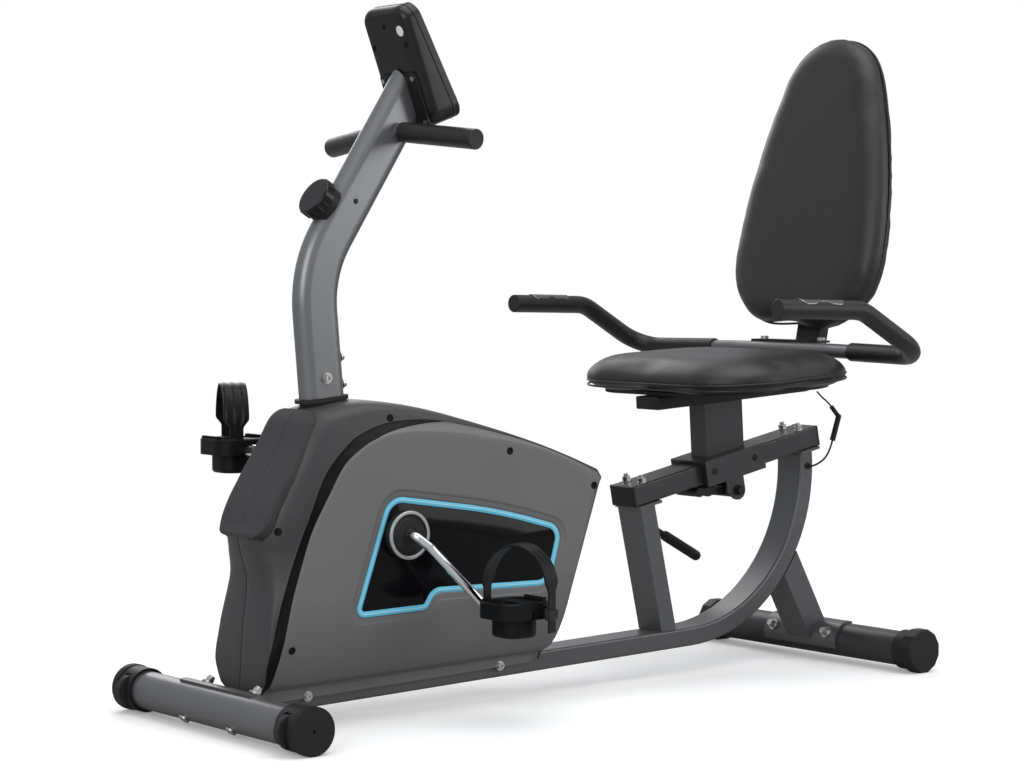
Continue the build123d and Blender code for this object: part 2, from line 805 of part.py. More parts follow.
def mast_gasket():
    """Rubber collar round the mast's foot on the housing."""
    foot = mast_start
    low = foot - mast_low_dir * 1.0
    high = foot + mast_low_dir * gasket_t
    ring = straight_oval(low, high, mast_w + 2 * gasket_over, mast_t + 2 * gasket_over)
    return ring - straight_oval(low - mast_low_dir * 5, high + mast_low_dir * 5, mast_w, mast_t)


def inner_frame():
    """Column inside the housing with the mast's spigot, the bottom bracket and the flywheel fork."""
    foot = column_point(base_top(mast_foot_x + 34) - 20)
    top = mast_start - mast_low_dir * 1.0
    spigot_top = mast_start + mast_low_dir * spigot_len
    gap = mast_wall + spigot_gap
    column = straight_oval(foot, top, mast_w, mast_t)
    spigot = straight_oval(top - mast_low_dir * 40, spigot_top, mast_w - 2 * gap, mast_t - 2 * gap)
    bore_w, bore_t = mast_w - 2 * gap - 5, mast_t - 2 * gap - 5
    frame = column + spigot - straight_oval(foot, spigot_top, bore_w, bore_t)
    for where, spot in mast_bolt_spots():
        frame -= mast_bolt_hole(where, spot)
    frame += rod_y(crank_x, crank_z, bb_r, -bb_half, bb_half)
    web_x = column_point(crank_z).X + mast_w / 2 - 5
    web = polygon([(web_x - 3, crank_z + 34), (crank_x, crank_z + bb_r - 1), (crank_x, crank_z - bb_r + 1),
                   (web_x + 3, crank_z - 40)])
    frame += side_prism(web, -5, 5)
    frame -= rod_y(crank_x, crank_z, bb_r - 5, -bb_half, bb_half)
    frame -= rod_y(crank_x, crank_z, bb_r - 3, -bb_half - 1, -bb_half + bearing_w)
    frame -= rod_y(crank_x, crank_z, bb_r - 3, bb_half - bearing_w, bb_half + 1)
    frame += flywheel_fork()
    below = polygon([(0, base_top(0)), (riser_x, base_top(riser_x)), (riser_x, -100), (0, -100)])
    frame -= side_prism(below, -100, 100)
    return frame


def fork_arm(y):
    """Bent arm from its foot on the main tube out to one end of the flywheel's axle."""
    half = fork_t / 2
    foot = fork_foot_y if y > 0 else -fork_foot_y
    low = base_top(flywheel_x) - 10
    knee_low, knee_high = base_top(flywheel_x) + 40, base_top(flywheel_x) + 78
    bend = polygon([(foot - half, low), (foot + half, low), (foot + half, knee_low), (y + half, knee_high),
                    (y + half, flywheel_z), (y - half, flywheel_z), (y - half, knee_high), (foot - half, knee_low)])
    plate = Pos(flywheel_x, 0, 0) * extrude(Plane.YZ * bend, amount=fork_arm_half, both=True)
    return plate + rod_y(flywheel_x, flywheel_z, fork_arm_half, y - half, y + half)


def flywheel_fork():
    """Two upright arms on the main tube that hold the flywheel's axle, with the magnet arm's ear."""
    pin_x, pin_z = magnet_pin()
    half = fork_t / 2
    ear = polygon([(flywheel_x, flywheel_z + 14), (pin_x, pin_z + 9), (pin_x, pin_z - 9), (flywheel_x, flywheel_z - 14)])
    ear += Pos(pin_x, pin_z) * Circle(9)
    cross = box(flywheel_x - fork_arm_half, flywheel_x + fork_arm_half, -fork_foot_y, fork_foot_y,
                base_top(flywheel_x) - 10, base_top(flywheel_x) + 6)
    fork = fork_arm(fork_left_y) + fork_arm(fork_right_y) + cross
    fork += side_prism(ear, fork_left_y - half, fork_left_y + half)
    fork += rod_y(pin_x, pin_z, 4, fork_left_y, flywheel_y + flywheel_w / 2 + 6)
    return fork - rod_y(flywheel_x, flywheel_z, flywheel_axle_r, -100, 100)


def front_handlebar():
    """One bent tube through the mast."""
    return swept_round(front_bar_path(), front_bar_r, bar_r, bar_wall)


def sleeve_on(path_points, radii, start, end, inner, outer):
    """A foam sleeve on a bent tube, between two lengths along its path."""
    path = FilletPolyline(*path_points, radius=radii)
    piece = path.trim(start / path.length, end / path.length)
    section = Plane(origin=piece @ 0, z_dir=piece % 0) * (Circle(outer) - Circle(inner))
    return sweep(section, path=piece)


def end_cap(path_points, cap_t, radius):
    """A closed plastic cap on the first end of a tube's path."""
    first, second = Vector(*path_points[0]), Vector(*path_points[1])
    back = (first - second).normalized()
    cap = rod(first, first + back * cap_t, radius)
    return fillet(cap.edges().sort_by(lambda e: e.center().dot(back))[-1:], cap_t * 0.5)


def front_grips():
    """Foam sleeves of the front handlebar, closed by end caps."""
    points = front_bar_path()
    length = FilletPolyline(*points, radius=front_bar_r).length
    reach = length / 2 - front_grip_start
    grip = sleeve_on(points, front_bar_r, 0, reach, bar_r, grip_r)
    return both_sides(grip + end_cap(points, grip_cap_t, grip_r))


# ---------------------------------------------------------------- tension control
def knob_base_point():
    """Middle of the knob's seat on the mast's front edge."""
    return mast_corner + mast_up_dir * knob_up + mast_front_dir * (mast_w / 2)


def tension_knob():
    """Ribbed knob that turns on a stem through the mast's front."""
    seat = knob_base_point()
    start = seat + mast_front_dir * (knob_base_h + knob_gap)
    plane = Plane(origin=start, x_dir=(0, 1, 0), z_dir=mast_front_dir)
    body = plane * Cylinder(knob_r - 1.5, knob_h, align=(Align.CENTER, Align.CENTER, Align.MIN))
    body = fillet(body.edges().sort_by(lambda e: e.center().dot(mast_front_dir))[-1:], 3.0)
    for index in range(knob_ribs):
        angle = 360 / knob_ribs * index
        rib = Rot(0, 0, angle) * Pos(knob_r - knob_rib_r, 0, 1) * Cylinder(
            knob_rib_r, knob_h - 5, align=(Align.CENTER, Align.CENTER, Align.MIN))
        body += plane * rib
    stem = rod(seat - mast_front_dir * 10, start + mast_front_dir * 2, knob_stem_r)
    return body + stem


def tension_base():
    """Fixed ring behind the knob."""
    seat = knob_base_point()
    ring = rod(seat - mast_front_dir * 8, seat + mast_front_dir * knob_base_h, knob_r - 3)
    ring -= rod(seat - mast_front_dir * 20, seat + mast_front_dir * 20, knob_stem_r + running)
    low = mast_corner + mast_up_dir * (knob_up - 80)
    high = mast_corner + mast_up_dir * (knob_up + 80)
    across = Vector(mast_up_dir.Z, 0, -mast_up_dir.X)
    base = Plane(origin=low, x_dir=across, z_dir=mast_up_dir)
    return ring - extrude(base * flat_oval(mast_w, mast_t), amount=(high - low).length)


# ---------------------------------------------------------------- drive
def magnet_pin():
    reach = flywheel_r + 15
    a = radians(arm_pin_angle)
    return flywheel_x + reach * cos(a), flywheel_z + reach * sin(a)


def ring_sector(inner, outer, start, end, y_low, y_high):
    """Part of a ring round the flywheel's axle, between two angles."""
    steps = 6
    reach = outer * 1.5
    fan = [(0, 0)] + [(reach * cos(radians(start + (end - start) * i / steps)),
                       reach * sin(radians(start + (end - start) * i / steps))) for i in range(steps + 1)]
    face = (Circle(outer) - Circle(inner)) & polygon(fan)
    return side_prism(Pos(flywheel_x, flywheel_z) * face, y_low, y_high)


def magnet_arm():
    """Curved arm with magnets that swings towards the flywheel's rim."""
    y_low, y_high = flywheel_y - flywheel_w / 2 - 1, flywheel_y + flywheel_w / 2 + 1
    inner = flywheel_r + magnet_gap + magnet_t
    back = ring_sector(inner, inner + magnet_back, arm_pin_angle + 1, arm_tip_angle, y_low, y_high)
    pin_x, pin_z = magnet_pin()
    hub = rod_y(pin_x, pin_z, 8.5, y_low, y_high)
    hub -= rod_y(flywheel_x, flywheel_z, flywheel_r + magnet_gap, -100, 100)
    arm = back + hub
    for start in (42, 58, 74):
        arm += ring_sector(flywheel_r + magnet_gap, inner, start, start + 12, y_low + 3, y_high - 3)
    return arm - rod_y(pin_x, pin_z, 4 + running, -100, 100)


def flywheel():
    """Cast flywheel with its belt pulley bolted on."""
    low, high = flywheel_y - flywheel_w / 2, flywheel_y + flywheel_w / 2
    wheel = rod_y(flywheel_x, flywheel_z, flywheel_r, low, high)
    web = flywheel_r - 30
    dish = rod_y(flywheel_x, flywheel_z, web, low, low + 6) - rod_y(flywheel_x, flywheel_z, 24, low, low + 6)
    wheel -= dish + (Pos(0, flywheel_w - 6, 0) * dish)
    hub = rod_y(flywheel_x, flywheel_z, 18, low - 8, belt_y - belt_w / 2)
    pulley = rod_y(flywheel_x, flywheel_z, small_pulley_r, belt_y - belt_w / 2, belt_y + belt_w / 2)
    return wheel + hub + pulley - rod_y(flywheel_x, flywheel_z, flywheel_axle_r + running, -100, 100)


def flywheel_axle():
    """Fixed axle with its nuts outside the fork."""
    low, high = fork_left_y - fork_t / 2, fork_right_y + fork_t / 2
    axle = rod_y(flywheel_x, flywheel_z, flywheel_axle_r, low - 12, high + 12)
    for face, side in ((low, (0, -1, 0)), (high, (0, 1, 0))):
        seat = Plane(origin=(flywheel_x, face, flywheel_z), z_dir=side)
        axle += extrude(seat * RegularPolygon(9.5, 6, major_radius=False), amount=8)
    return axle


def drive_belt():
    """Flat ribbed belt round both pulleys."""
    dx, dz = flywheel_x - crank_x, flywheel_z - crank_z
    distance = hypot(dx, dz)
    lean = atan2(dz, dx)

    def loop(extra):
        big, small = pulley_r + extra, small_pulley_r + extra
        tilt = asin((big - small) / distance)
        face = Pos(crank_x, crank_z) * Circle(big) + Pos(flywheel_x, flywheel_z) * Circle(small)
        corners = []
        for side in (1, -1):
            a = lean + side * (pi / 2 - tilt)
            corners.append((crank_x + big * cos(a), crank_z + big * sin(a)))
            corners.append((flywheel_x + small * cos(a), flywheel_z + small * sin(a)))
        return face + polygon([corners[0], corners[1], corners[3], corners[2]])

    return side_prism(loop(belt_t + 0.3) - loop(0.3), belt_y - belt_w / 2, belt_y + belt_w / 2)


def drive_pulley():
    """Large pulley on the crank's axle, with lightening holes."""
    pulley = rod_y(crank_x, crank_z, pulley_r, belt_y - belt_w / 2, belt_y + belt_w / 2)
    pulley -= rod_y(crank_x, crank_z, pulley_r - 14, belt_y - belt_w / 2, belt_y - 2)
    pulley -= rod_y(crank_x, crank_z, pulley_r - 14, belt_y + 2, belt_y + belt_w / 2)
    pulley += rod_y(crank_x, crank_z, 24, belt_y - belt_w / 2, belt_y + belt_w / 2)
    for index in range(6):
        a = 2 * pi * index / 6
        pulley -= rod_y(crank_x + 62 * cos(a), crank_z + 62 * sin(a), 18, belt_y - 10, belt_y + 10)
    return pulley - rod_y(crank_x, crank_z, axle_r, -100, 100)


def crank_bearings():
    """Bearings pressed into both ends of the bottom bracket."""
    ring = rod_y(crank_x, crank_z, bb_r - 3, -bb_half, -bb_half + bearing_w)
    ring -= rod_y(crank_x, crank_z, axle_r + running, -bb_half - 1, -bb_half + bearing_w + 1)
    return both_sides(ring)


crank_dir = Vector(cos(radians(crank_angle)), 0, -sin(radians(crank_angle)))
left_end = Vector(crank_x, 0, crank_z) + crank_dir * crank_len
right_end = Vector(crank_x, 0, crank_z) - crank_dir * crank_len


def crank_axle():
    """Crank axle, and the two pedal spindles screwed into the arms."""
    solids = list(rod_y(crank_x, crank_z, axle_r, -arm_root_y, arm_root_y).solids())
    for end, side in ((left_end, -1), (right_end, 1)):
        near, far = arm_end_y - arm_eye_t / 2 + 2, pedal_in + pedal_w - 8
        y_low, y_high = sorted((side * near, side * far))
        spindle = rod_y(end.X, end.Z, spindle_r, y_low, y_high)
        collar_low, collar_high = sorted((side * (arm_end_y + arm_eye_t / 2), side * (pedal_in - 1)))
        spindle += rod_y(end.X, end.Z, 9, collar_low, collar_high)
        solids += spindle.solids()
    return Compound(children=solids)


def crank_arm(end, side):
    """Bent round bar from the end of the axle to one pedal, with an eye for the spindle."""
    hub = Vector(crank_x, 0, crank_z)
    reach = (Vector(end.X, 0, end.Z) - hub).normalized()
    y_axis = Vector(0, side, 0)
    points = [hub + y_axis * arm_root_y, hub + y_axis * (arm_root_y + arm_out),
              hub + reach * arm_knee + y_axis * (arm_root_y + arm_knee_out), Vector(end.X, side * arm_end_y, end.Z)]
    path = FilletPolyline(*points, radius=arm_bend_r)
    arm = sweep(Plane(origin=points[0], z_dir=y_axis) * Circle(arm_r), path=path)
    half = arm_eye_t / 2
    y_low, y_high = sorted((side * (arm_end_y - half), side * (arm_end_y + half)))
    arm += rod_y(end.X, end.Z, arm_eye_r, y_low, y_high)
    return arm - rod_y(end.X, end.Z, spindle_r, -pedal_in, pedal_in)


def pedal(end, side):
    """Weighted pedal with a treaded platform."""
    y_mid = side * (pedal_in + pedal_w / 2)
    at = Pos(end.X, y_mid, end.Z)
    height = pedal_top + pedal_low
    platform = extrude(RectangleRounded(pedal_l, pedal_w, pedal_corner), amount=height)
    platform = chamfer(platform.faces().sort_by(Axis.Z)[-1].edges(), 2)
    body = Pos(0, 0, -pedal_low) * platform
    for sign in (-1, 1):
        body -= Pos(sign * pedal_l * 0.27, 0, pedal_top - 7) * Box(
            pedal_l * 0.24, pedal_w * 0.7, 16, align=(Align.CENTER, Align.CENTER, Align.MIN))
        body += Pos(sign * pedal_l * 0.27, 0, pedal_top - 7) * Box(
            4, pedal_w * 0.7, 6, align=(Align.CENTER, Align.CENTER, Align.MIN))
    for sign in (-1, 1):
        for row in range(pedal_tread_rows):
            y = (row - (pedal_tread_rows - 1) / 2) * pedal_tread_step
            stud = Pos(sign * (pedal_l / 2 - 6), y, pedal_top) * Box(
                7, 5, tread_h, align=(Align.CENTER, Align.CENTER, Align.MIN))
            body += stud
    weight_h = pedal_weight - pedal_low
    weight = Pos(0, 0, -pedal_weight) * extrude(RectangleRounded(pedal_l * 0.66, pedal_w * 0.7, 24), amount=weight_h)
    weight = fillet(weight.faces().sort_by(Axis.Z)[0].edges(), 6)
    body += weight
    body -= rod_y(0, 0, spindle_r + running, -pedal_w, pedal_w)
    return at * body - pedal_strap(end, side)


def pedal_strap(end, side):
    """Rubber strap over the pedal, from a slot near the crank arm to the pedal's outer side."""
    turn = radians(strap_turn)
    out = Vector(sin(turn), side * cos(turn), 0)
    middle = Vector(end.X, side * (pedal_in + pedal_w / 2), end.Z) + out * strap_out
    plane = Plane(origin=middle, x_dir=out, z_dir=out.cross(Vector(0, 0, 1)))
    rise = strap_rise - strap_knee
    inner = strap_half - strap_t
    arch = Pos(0, strap_knee) * (Ellipse(strap_half, rise) - Ellipse(inner, rise - strap_t))
    arch &= Pos(0, strap_knee) * Rectangle(4 * strap_half, 4 * rise, align=(Align.CENTER, Align.MIN))
    to_pedal = (pedal_w / 2 - strap_t) / cos(turn) - strap_out
    legs = Pos((to_pedal + inner) / 2, strap_foot) * Rectangle(inner - to_pedal, strap_t)
    for leg, foot in ((-1, strap_foot), (1, -strap_tail)):
        legs += Pos(leg * (strap_half - strap_t / 2), (foot + strap_knee) / 2) * Rectangle(strap_t, strap_knee - foot)
    wide = extrude(plane * arch, amount=strap_w / 2, both=True)
    return wide + extrude(plane * legs, amount=strap_leg_w / 2, both=True)


# ---------------------------------------------------------------- housing
# Half outlines in (x, z), from the bottom of the front edge, up and over to the rear edge.
crown_front = [(40, 26), (44, 105), (51, 170), (56, 235), (64, 295), (92, 368), (126, 438), (152, 486)]
crown_top = [(152, 486), (212, 497), (276, 494), (338, 484), (416, 464), (518, 434), (620, 399), (686, 372)]
crown_rear = [(686, 372), (582, 44)]
shoulder_front = [(50, 31), (53, 102), (60, 174), (75, 225), (99, 287), (120, 335), (145, 388), (198, 442)]
shoulder_top = [(198, 442), (236, 458), (291, 467), (351, 465), (427, 452), (530, 426), (624, 394), (687, 362)]
shoulder_rear = [(687, 362), (586, 61)]
panel_front = [(59, 62), (63, 116), (76, 196), (96, 266), (122, 325), (147, 366), (169, 400), (216, 434)]
panel_top = [(216, 434), (244, 444), (288, 449), (348, 446), (424, 437), (527, 418), (609, 390), (663, 355)]
panel_rear = [(663, 355), (569, 88)]


def inset(points_list, amount):
    """The same outline drawn in by a wall, as four chains that still meet."""
    front, top, rear = points_list
    ring = front + top[1:] + rear[1:]
    moved = []
    count = len(ring)
    for index in range(count):
        before, after = Vector(*ring[index - 1]), Vector(*ring[(index + 1) % count])
        here = Vector(*ring[index])
        one, two = (here - before).normalized(), (after - here).normalized()
        normal_one, normal_two = Vector(one.Y, -one.X), Vector(two.Y, -two.X)
        push = (normal_one + normal_two).normalized()
        scale = amount / max(push.dot(normal_one), 0.4)
        moved.append(((here + push * scale).X, (here + push * scale).Y))
    a, b = len(front), len(front) + len(top) - 1
    return moved[:a], moved[a - 1:b], moved[b - 1:]


def outline_face(chains, y):
    """A closed face from a front curve, a top curve, a rear line and a bottom line, at one Y."""
    front, top, rear = [[Vector(x, y, z) for x, z in chain] for chain in chains]
    edges = [Spline(*front), Spline(*top), Line(rear[0], rear[-1]), Line(rear[-1], front[0])]
    return make_face(edges)


def housing_body(wall):
    """The left half of the housing as a solid, drawn in by a wall."""
    outlines = [(crown_front, crown_top, crown_rear), (shoulder_front, shoulder_top, shoulder_rear),
                (panel_front, panel_top, panel_rear)]
    crown, shoulder, panel = [inset(outline, wall) if wall else outline for outline in outlines]
    step = wall
    middle = extrude(outline_face(crown, 0), amount=crown_y - step / 2, dir=(0, -1, 0))
    flank = loft([outline_face(crown, -crown_y + step / 2), outline_face(shoulder, -shoulder_y + step)], ruled=True)
    edge = loft([outline_face(shoulder, -shoulder_y + step), outline_face(panel, -panel_y + step)], ruled=True)
    return middle + flank + edge - tuck(wall)


def tuck(wall):
    """What is cut off where the panels turn in towards the main tube."""
    top, low = tuck_top_z + wall * 0.6, skirt_z + wall * 0.6
    out, inner = -panel_y + 0.01, -skirt_y + wall
    turned = (-tuck_y + wall * 0.8, tuck_top_z - tuck_drop)
    cut = polygon([(out, top), turned, (inner, low), (inner, -80), (-300, -80), (-300, top)])
    prism = extrude(Plane.YZ * cut, amount=1400)
    return Pos(-100, 0, 0) * Rot(0, -tuck_slope, 0) * prism


def nose():
    """Raised front panel with a lip above the recess."""
    proud = rounded([(34.5, 299, 5), (65, 357, 60), (131, 479, 14), (158, 500, 6), (150, 300, 6), (57, 238, 4)])
    wide = rounded([(-nose_half + 7, 230, 6), (-nose_half, 350, 90), (-nose_half, 446, 34), (-34, 496, 26),
                    (20, 496, 4), (20, 230, 4)])
    block = side_prism(proud, -2 * nose_half, 0)
    return block & extrude(Plane.YZ * wide, amount=2 * nose_half + 100)


def window_outline():
    return rounded([(185, 165, 13), (327, 169, 8), (342, 193, 12), (572, 188, 26), (598, 285, 19),
                    (464, 321, 240), (253, 352, 23)])


def shell_cutouts():
    """Main tube, mast and crank openings of one half shell."""
    line = Line((-20, 0, base_mid(-20)), (riser_x, 0, base_mid(riser_x)))
    grow = 2 * tube_gap
    tube = swept_flat(line, RectangleRounded(flat_w + grow, flat_t + grow, tube_corner), (0, 1, 0))
    low, high = column_point(380), column_point(560)
    mast = straight_oval(low, high, mast_w + 1.0, mast_t + 1.0)
    axle = rod_y(crank_x, crank_z, disc_r - 10, -panel_y - 5, -panel_y + 20)
    skirt_low = polygon([(-50, base_low(-50) + 2), (900, base_low(900) + 2), (900, -100), (-50, -100)])
    pocket = side_prism(window_outline(), -panel_y - 5, -panel_y + window_t)
    gasket_low = mast_start - mast_low_dir * 1.0
    collar = straight_oval(gasket_low, gasket_low + mast_low_dir * 60, mast_w + 2 * gasket_over, mast_t + 2 * gasket_over)
    low_line, high_line = base_mid(0), base_mid(riser_x)
    rise = flat_t / 2 + shell_wall + 1
    channel = polygon([(0, low_line), (riser_x, high_line), (riser_x, high_line + rise), (0, low_line + rise)])
    channel = side_prism(channel, -flat_w / 2 - tube_gap, flat_w / 2 + tube_gap)
    return tube + channel + mast + axle + side_prism(skirt_low, -300, 300) + pocket + collar


def half_shell():
    """Left half of the housing."""
    outer = housing_body(0) + nose()
    inner = housing_body(shell_wall)
    floor = polygon([(0, base_top(0) + 3), (900, base_top(900) + 3), (900, 900), (0, 900)])
    inner &= side_prism(floor, -400, 1)
    backing = side_prism(offset(window_outline(), 6), -panel_y, -panel_y + window_t + shell_wall)
    shell = outer - inner + (backing & housing_body(0)) - shell_cutouts()
    front_gap = rod_y(0, front_axis_z, stab_r + saddle_t + 2, -300, 300)
    shell -= front_gap
    for x in shell_bolt_x:
        shell -= rod_y(x, base_mid(x) + shell_bolt_up, bolt_r, -200, 0)
    return max(shell.solids(), key=lambda s: s.volume)


def window_panel():
    """Glossy inlay of the left side panel, with the crank's opening."""
    face = offset(window_outline(), -0.3)
    return side_prism(face, -panel_y, -panel_y + window_t) - rod_y(crank_x, crank_z, disc_r - 10, -200, 0)


def disc_cover():
    """Round cover where the left end of the axle leaves the housing."""
    cover = rod_y(crank_x, crank_z, disc_r, -panel_y - disc_t, -panel_y)
    cover = fillet(cover.edges().sort_by(Axis.Y)[:1], 3.0)
    cover += rod_y(crank_x, crank_z, disc_r - 10.2, -panel_y, -panel_y + 8)
    return cover - rod_y(crank_x, crank_z, axle_r + 1.5, -200, 0)


def shell_bolts():
    """Screws that hold the shells on the main tube, each with a washer."""
    solids = []
    for x in shell_bolt_x:
        z = base_mid(x) + shell_bolt_up
        screw = rod_y(x, z, bolt_r, -skirt_y, -flat_w / 2 + tube_wall) + rod_y(x, z, 8, -skirt_y - 1.5, -skirt_y)
        screw += rod_y(x, z, 6, -skirt_y - 5, -skirt_y - 1.5)
        screw -= rod_y(x, z, 2.2, -skirt_y - 6, -skirt_y - 3)
        solids += screw.solids()
    left = Compound(children=solids)
    return both_sides(left)


# ---------------------------------------------------------------- console
back_up = Vector(console_top[0] - console_bottom[0], 0, console_top[1] - console_bottom[1]).normalized()
console_height = hypot(console_top[0] - console_bottom[0], console_top[1] - console_bottom[1])


def console_plane():
    """The back face: X across the bike, Y up the face, Z away from the rider."""
    origin = (console_bottom[0], 0, console_bottom[1])
    return Plane(origin=origin, x_dir=(0, -1, 0), z_dir=back_up.cross(Vector(0, 1, 0)))


def console_solid(shrink, back, front):
    """The console's body between two depths behind the back face, drawn in by a wall."""
    width, high = console_w - 2 * shrink, console_height - 2 * shrink
    face = Pos(0, console_height / 2) * RectangleRounded(width, high, 24 - shrink)
    plane = console_plane()
    block = extrude(plane * face, amount=-(console_bottom_t + 20))
    inward = plane.z_dir * -1
    base = Vector(*plane.origin)

    def edge_point(share, depths):
        """A point of one depth's face, this share of the way up; the face runs on past both ends."""
        spot = base + back_up * (console_height * share)
        spot += inward * (depths(0) + (depths(1) - depths(0)) * share)
        return spot.X, spot.Z

    ends = [(-0.2, back), (1.2, back), (1.2, front), (-0.2, front)]
    wedge = side_prism(polygon([edge_point(share, depths) for share, depths in ends]), -console_w, console_w)
    return block & wedge


def depth(behind):
    """Depth of a face parallel to the display, this far behind it, low end and top end."""
    return lambda end: (console_bottom_t if end == 0 else console_top_t) - behind


def console_rear_shell():
    """Rear shell, hollow, with the recess of the battery door."""
    body = console_solid(0, lambda end: 0, depth(bezel_t))
    hollow = console_solid(console_wall, lambda end: console_wall, depth(bezel_t - 1))
    door = door_solid(0)
    return body - hollow - door


def door_solid(shrink):
    """The battery door in the upper half of the back face."""
    plane = console_plane()
    face = Pos(0, console_height * 0.72) * RectangleRounded(74 - 2 * shrink, 78 - 2 * shrink, 8)
    return extrude(plane * face, amount=-(console_wall - 1.0))


def console_front_shell():
    """Front bezel with the openings of the display and the buttons."""
    body = console_solid(0, depth(bezel_t), depth(0))
    hollow = console_solid(console_wall, depth(bezel_t + 1), depth(3.0))
    face_plane = display_plane()
    body -= hollow
    body -= extrude(face_plane * Pos(0, lens_up) * RectangleRounded(lens_w, lens_h, 5), amount=-lens_t)
    body -= extrude(face_plane * Pos(0, lens_up) * RectangleRounded(lens_w - 10, lens_h - 10, 3), amount=-10)
    for y in (-button_y, button_y):
        body -= face_plane * Pos(y, button_up, 0) * Cylinder(button_r + running, 20)
    return body



def display_plane():
    """The display face: X across the bike, Y up the face, Z towards the rider."""
    plane = console_plane()
    inward = plane.z_dir * -1
    base = Vector(*plane.origin) + inward * console_bottom_t
    top = Vector(*plane.origin) + back_up * console_height + inward * console_top_t
    up = (top - base).normalized()
    return Plane(origin=base, x_dir=(0, 1, 0), z_dir=up.cross(Vector(0, -1, 0)))


def display_lens():
    """Window over the display."""
    face = Pos(0, lens_up) * RectangleRounded(lens_w - 0.4, lens_h - 0.4, 5)
    return extrude(display_plane() * face, amount=-lens_t)


def button(y):
    """Push button in the bezel, with a collar behind it."""
    cap = Cylinder(button_r, button_h, align=(Align.CENTER, Align.CENTER, Align.MAX))
    cap = fillet(cap.edges().sort_by(Axis.Z)[-1:], 2.0)
    collar = Pos(0, 0, -button_h) * Cylinder(button_r + button_collar, 1.5, align=(Align.CENTER, Align.CENTER, Align.MAX))
    return display_plane() * Pos(y, button_up, button_out) * (cap + collar)


def console_bracket():
    """Bent plate between the mast's top and the console's back."""
    plane = console_plane()
    face = Pos(0, 46) * RectangleRounded(bracket_w, 92, 8)
    plate = extrude(plane * face, amount=bracket_t)
    for y in (-bracket_w / 2 + 8, bracket_w / 2 - 8):
        for up in (10, 82):
            plate -= plane * Pos(y, up, 0) * Cylinder(2.2, 20)
    return plate


def console_screws():
    """Four screws through the bracket into the rear shell."""
    plane = console_plane()
    solids = []
    for y in (-bracket_w / 2 + 8, bracket_w / 2 - 8):
        for up in (10, 82):
            head = plane * Pos(y, up, bracket_t) * Cylinder(4, 2.5, align=(Align.CENTER, Align.CENTER, Align.MIN))
            shank = plane * Pos(y, up, bracket_t) * Cylinder(2.2, bracket_t, align=(Align.CENTER, Align.CENTER, Align.MAX))
            solids += (head + shank).solids()
    return Compound(children=solids)


# ---------------------------------------------------------------- seat
carriage_along = (carriage_x - rail_front_x) / rail_dir.X
lug_along = carriage_along + lug_back
lock_point = on_rail(lug_along, 0, -rail_h - lug_drop)


def seat_carriage():
    """Sleeve that slides on the rail, with the lock lug below and the seat post on top."""
    start, end = carriage_along, carriage_along + carriage_len
    half = carriage_half
    up_high = top_pad + pad_gap + carriage_t
    sleeve = along_rail(start, end, -half, half, -rail_h - side_drop, up_high)
    inner = half - carriage_t
    sleeve -= along_rail(start - 1, end + 1, -inner, inner, -rail_h - side_drop - 1, up_high - carriage_t)
    for sign in (-1, 1):
        y_low, y_high = sorted((sign * lug_y, sign * (lug_y + lug_t)))
        lug = along_rail(lug_along - 24, lug_along + lug_r, y_low, y_high, -rail_h - lug_drop, -rail_h - side_drop + 8)
        lug += rod_y(lock_point.X, lock_point.Z, lug_r, y_low, y_high)
        link_low, link_high = sorted((sign * lug_y, sign * half))
        lug += along_rail(lug_along - 24, lug_along + lug_r, link_low, link_high,
                          -rail_h - side_drop, -rail_h - side_drop + 6)
        sleeve += lug
    sleeve -= rod_y(lock_point.X, lock_point.Z, shaft_r + running, -100, 100)
    sleeve -= along_rail(start - 1, end + 1, -rail_w / 2 - 6, rail_w / 2 + 6, -rail_h - 8, -10)
    return sleeve + seat_post()


def seat_post():
    """Upright tube from the sleeve's top plate to the seat frame."""
    lean = radians(seat_tilt)
    up = Vector(-sin(lean), cos(lean))
    across = Vector(cos(lean), sin(lean)) * (post_w / 2)
    top_z = seat_under(post_x) - board_t
    foot = Vector(post_x, top_z)
    low = foot - up * 160
    outline = polygon([low - across, low + across, foot + across, foot - across])
    inside = across * ((post_w - 2 * tube_wall) / post_w)
    hollow = polygon([low - inside, low + inside, foot + up * 5 + inside, foot + up * 5 - inside])
    half, gap = post_t / 2, post_t / 2 - tube_wall
    post = side_prism(outline, -half, half) - side_prism(hollow, -gap, gap)
    post -= in_seat(box(-400, 400, -100, 100, -board_t - frame_t, 400))
    above = top_pad + pad_gap + carriage_t
    return post - along_rail(-300, rail_length + 300, -200, 200, -400, above)


def seat_under(x):
    """Height of the cushion's underside plane."""
    return seat_z + tan(radians(seat_tilt)) * (x - seat_x)


def slide_pads():
    """Nylon pads between the sleeve and the rail."""
    start, end = carriage_along, carriage_along + carriage_len
    pads = []
    inner, outer = rail_w / 2 + pad_gap, carriage_half - carriage_t
    for low, high in ((start, start + pad_len), (end - pad_len, end)):
        for sign in (-1, 1):
            y_low, y_high = sorted((sign * inner, sign * outer))
            pads += along_rail(low, high, y_low, y_high, -rail_h + 2, pad_gap - 0.3).solids()
        pads += along_rail(low, high, -outer, outer, pad_gap, pad_gap + top_pad).solids()
    return Compound(children=pads)


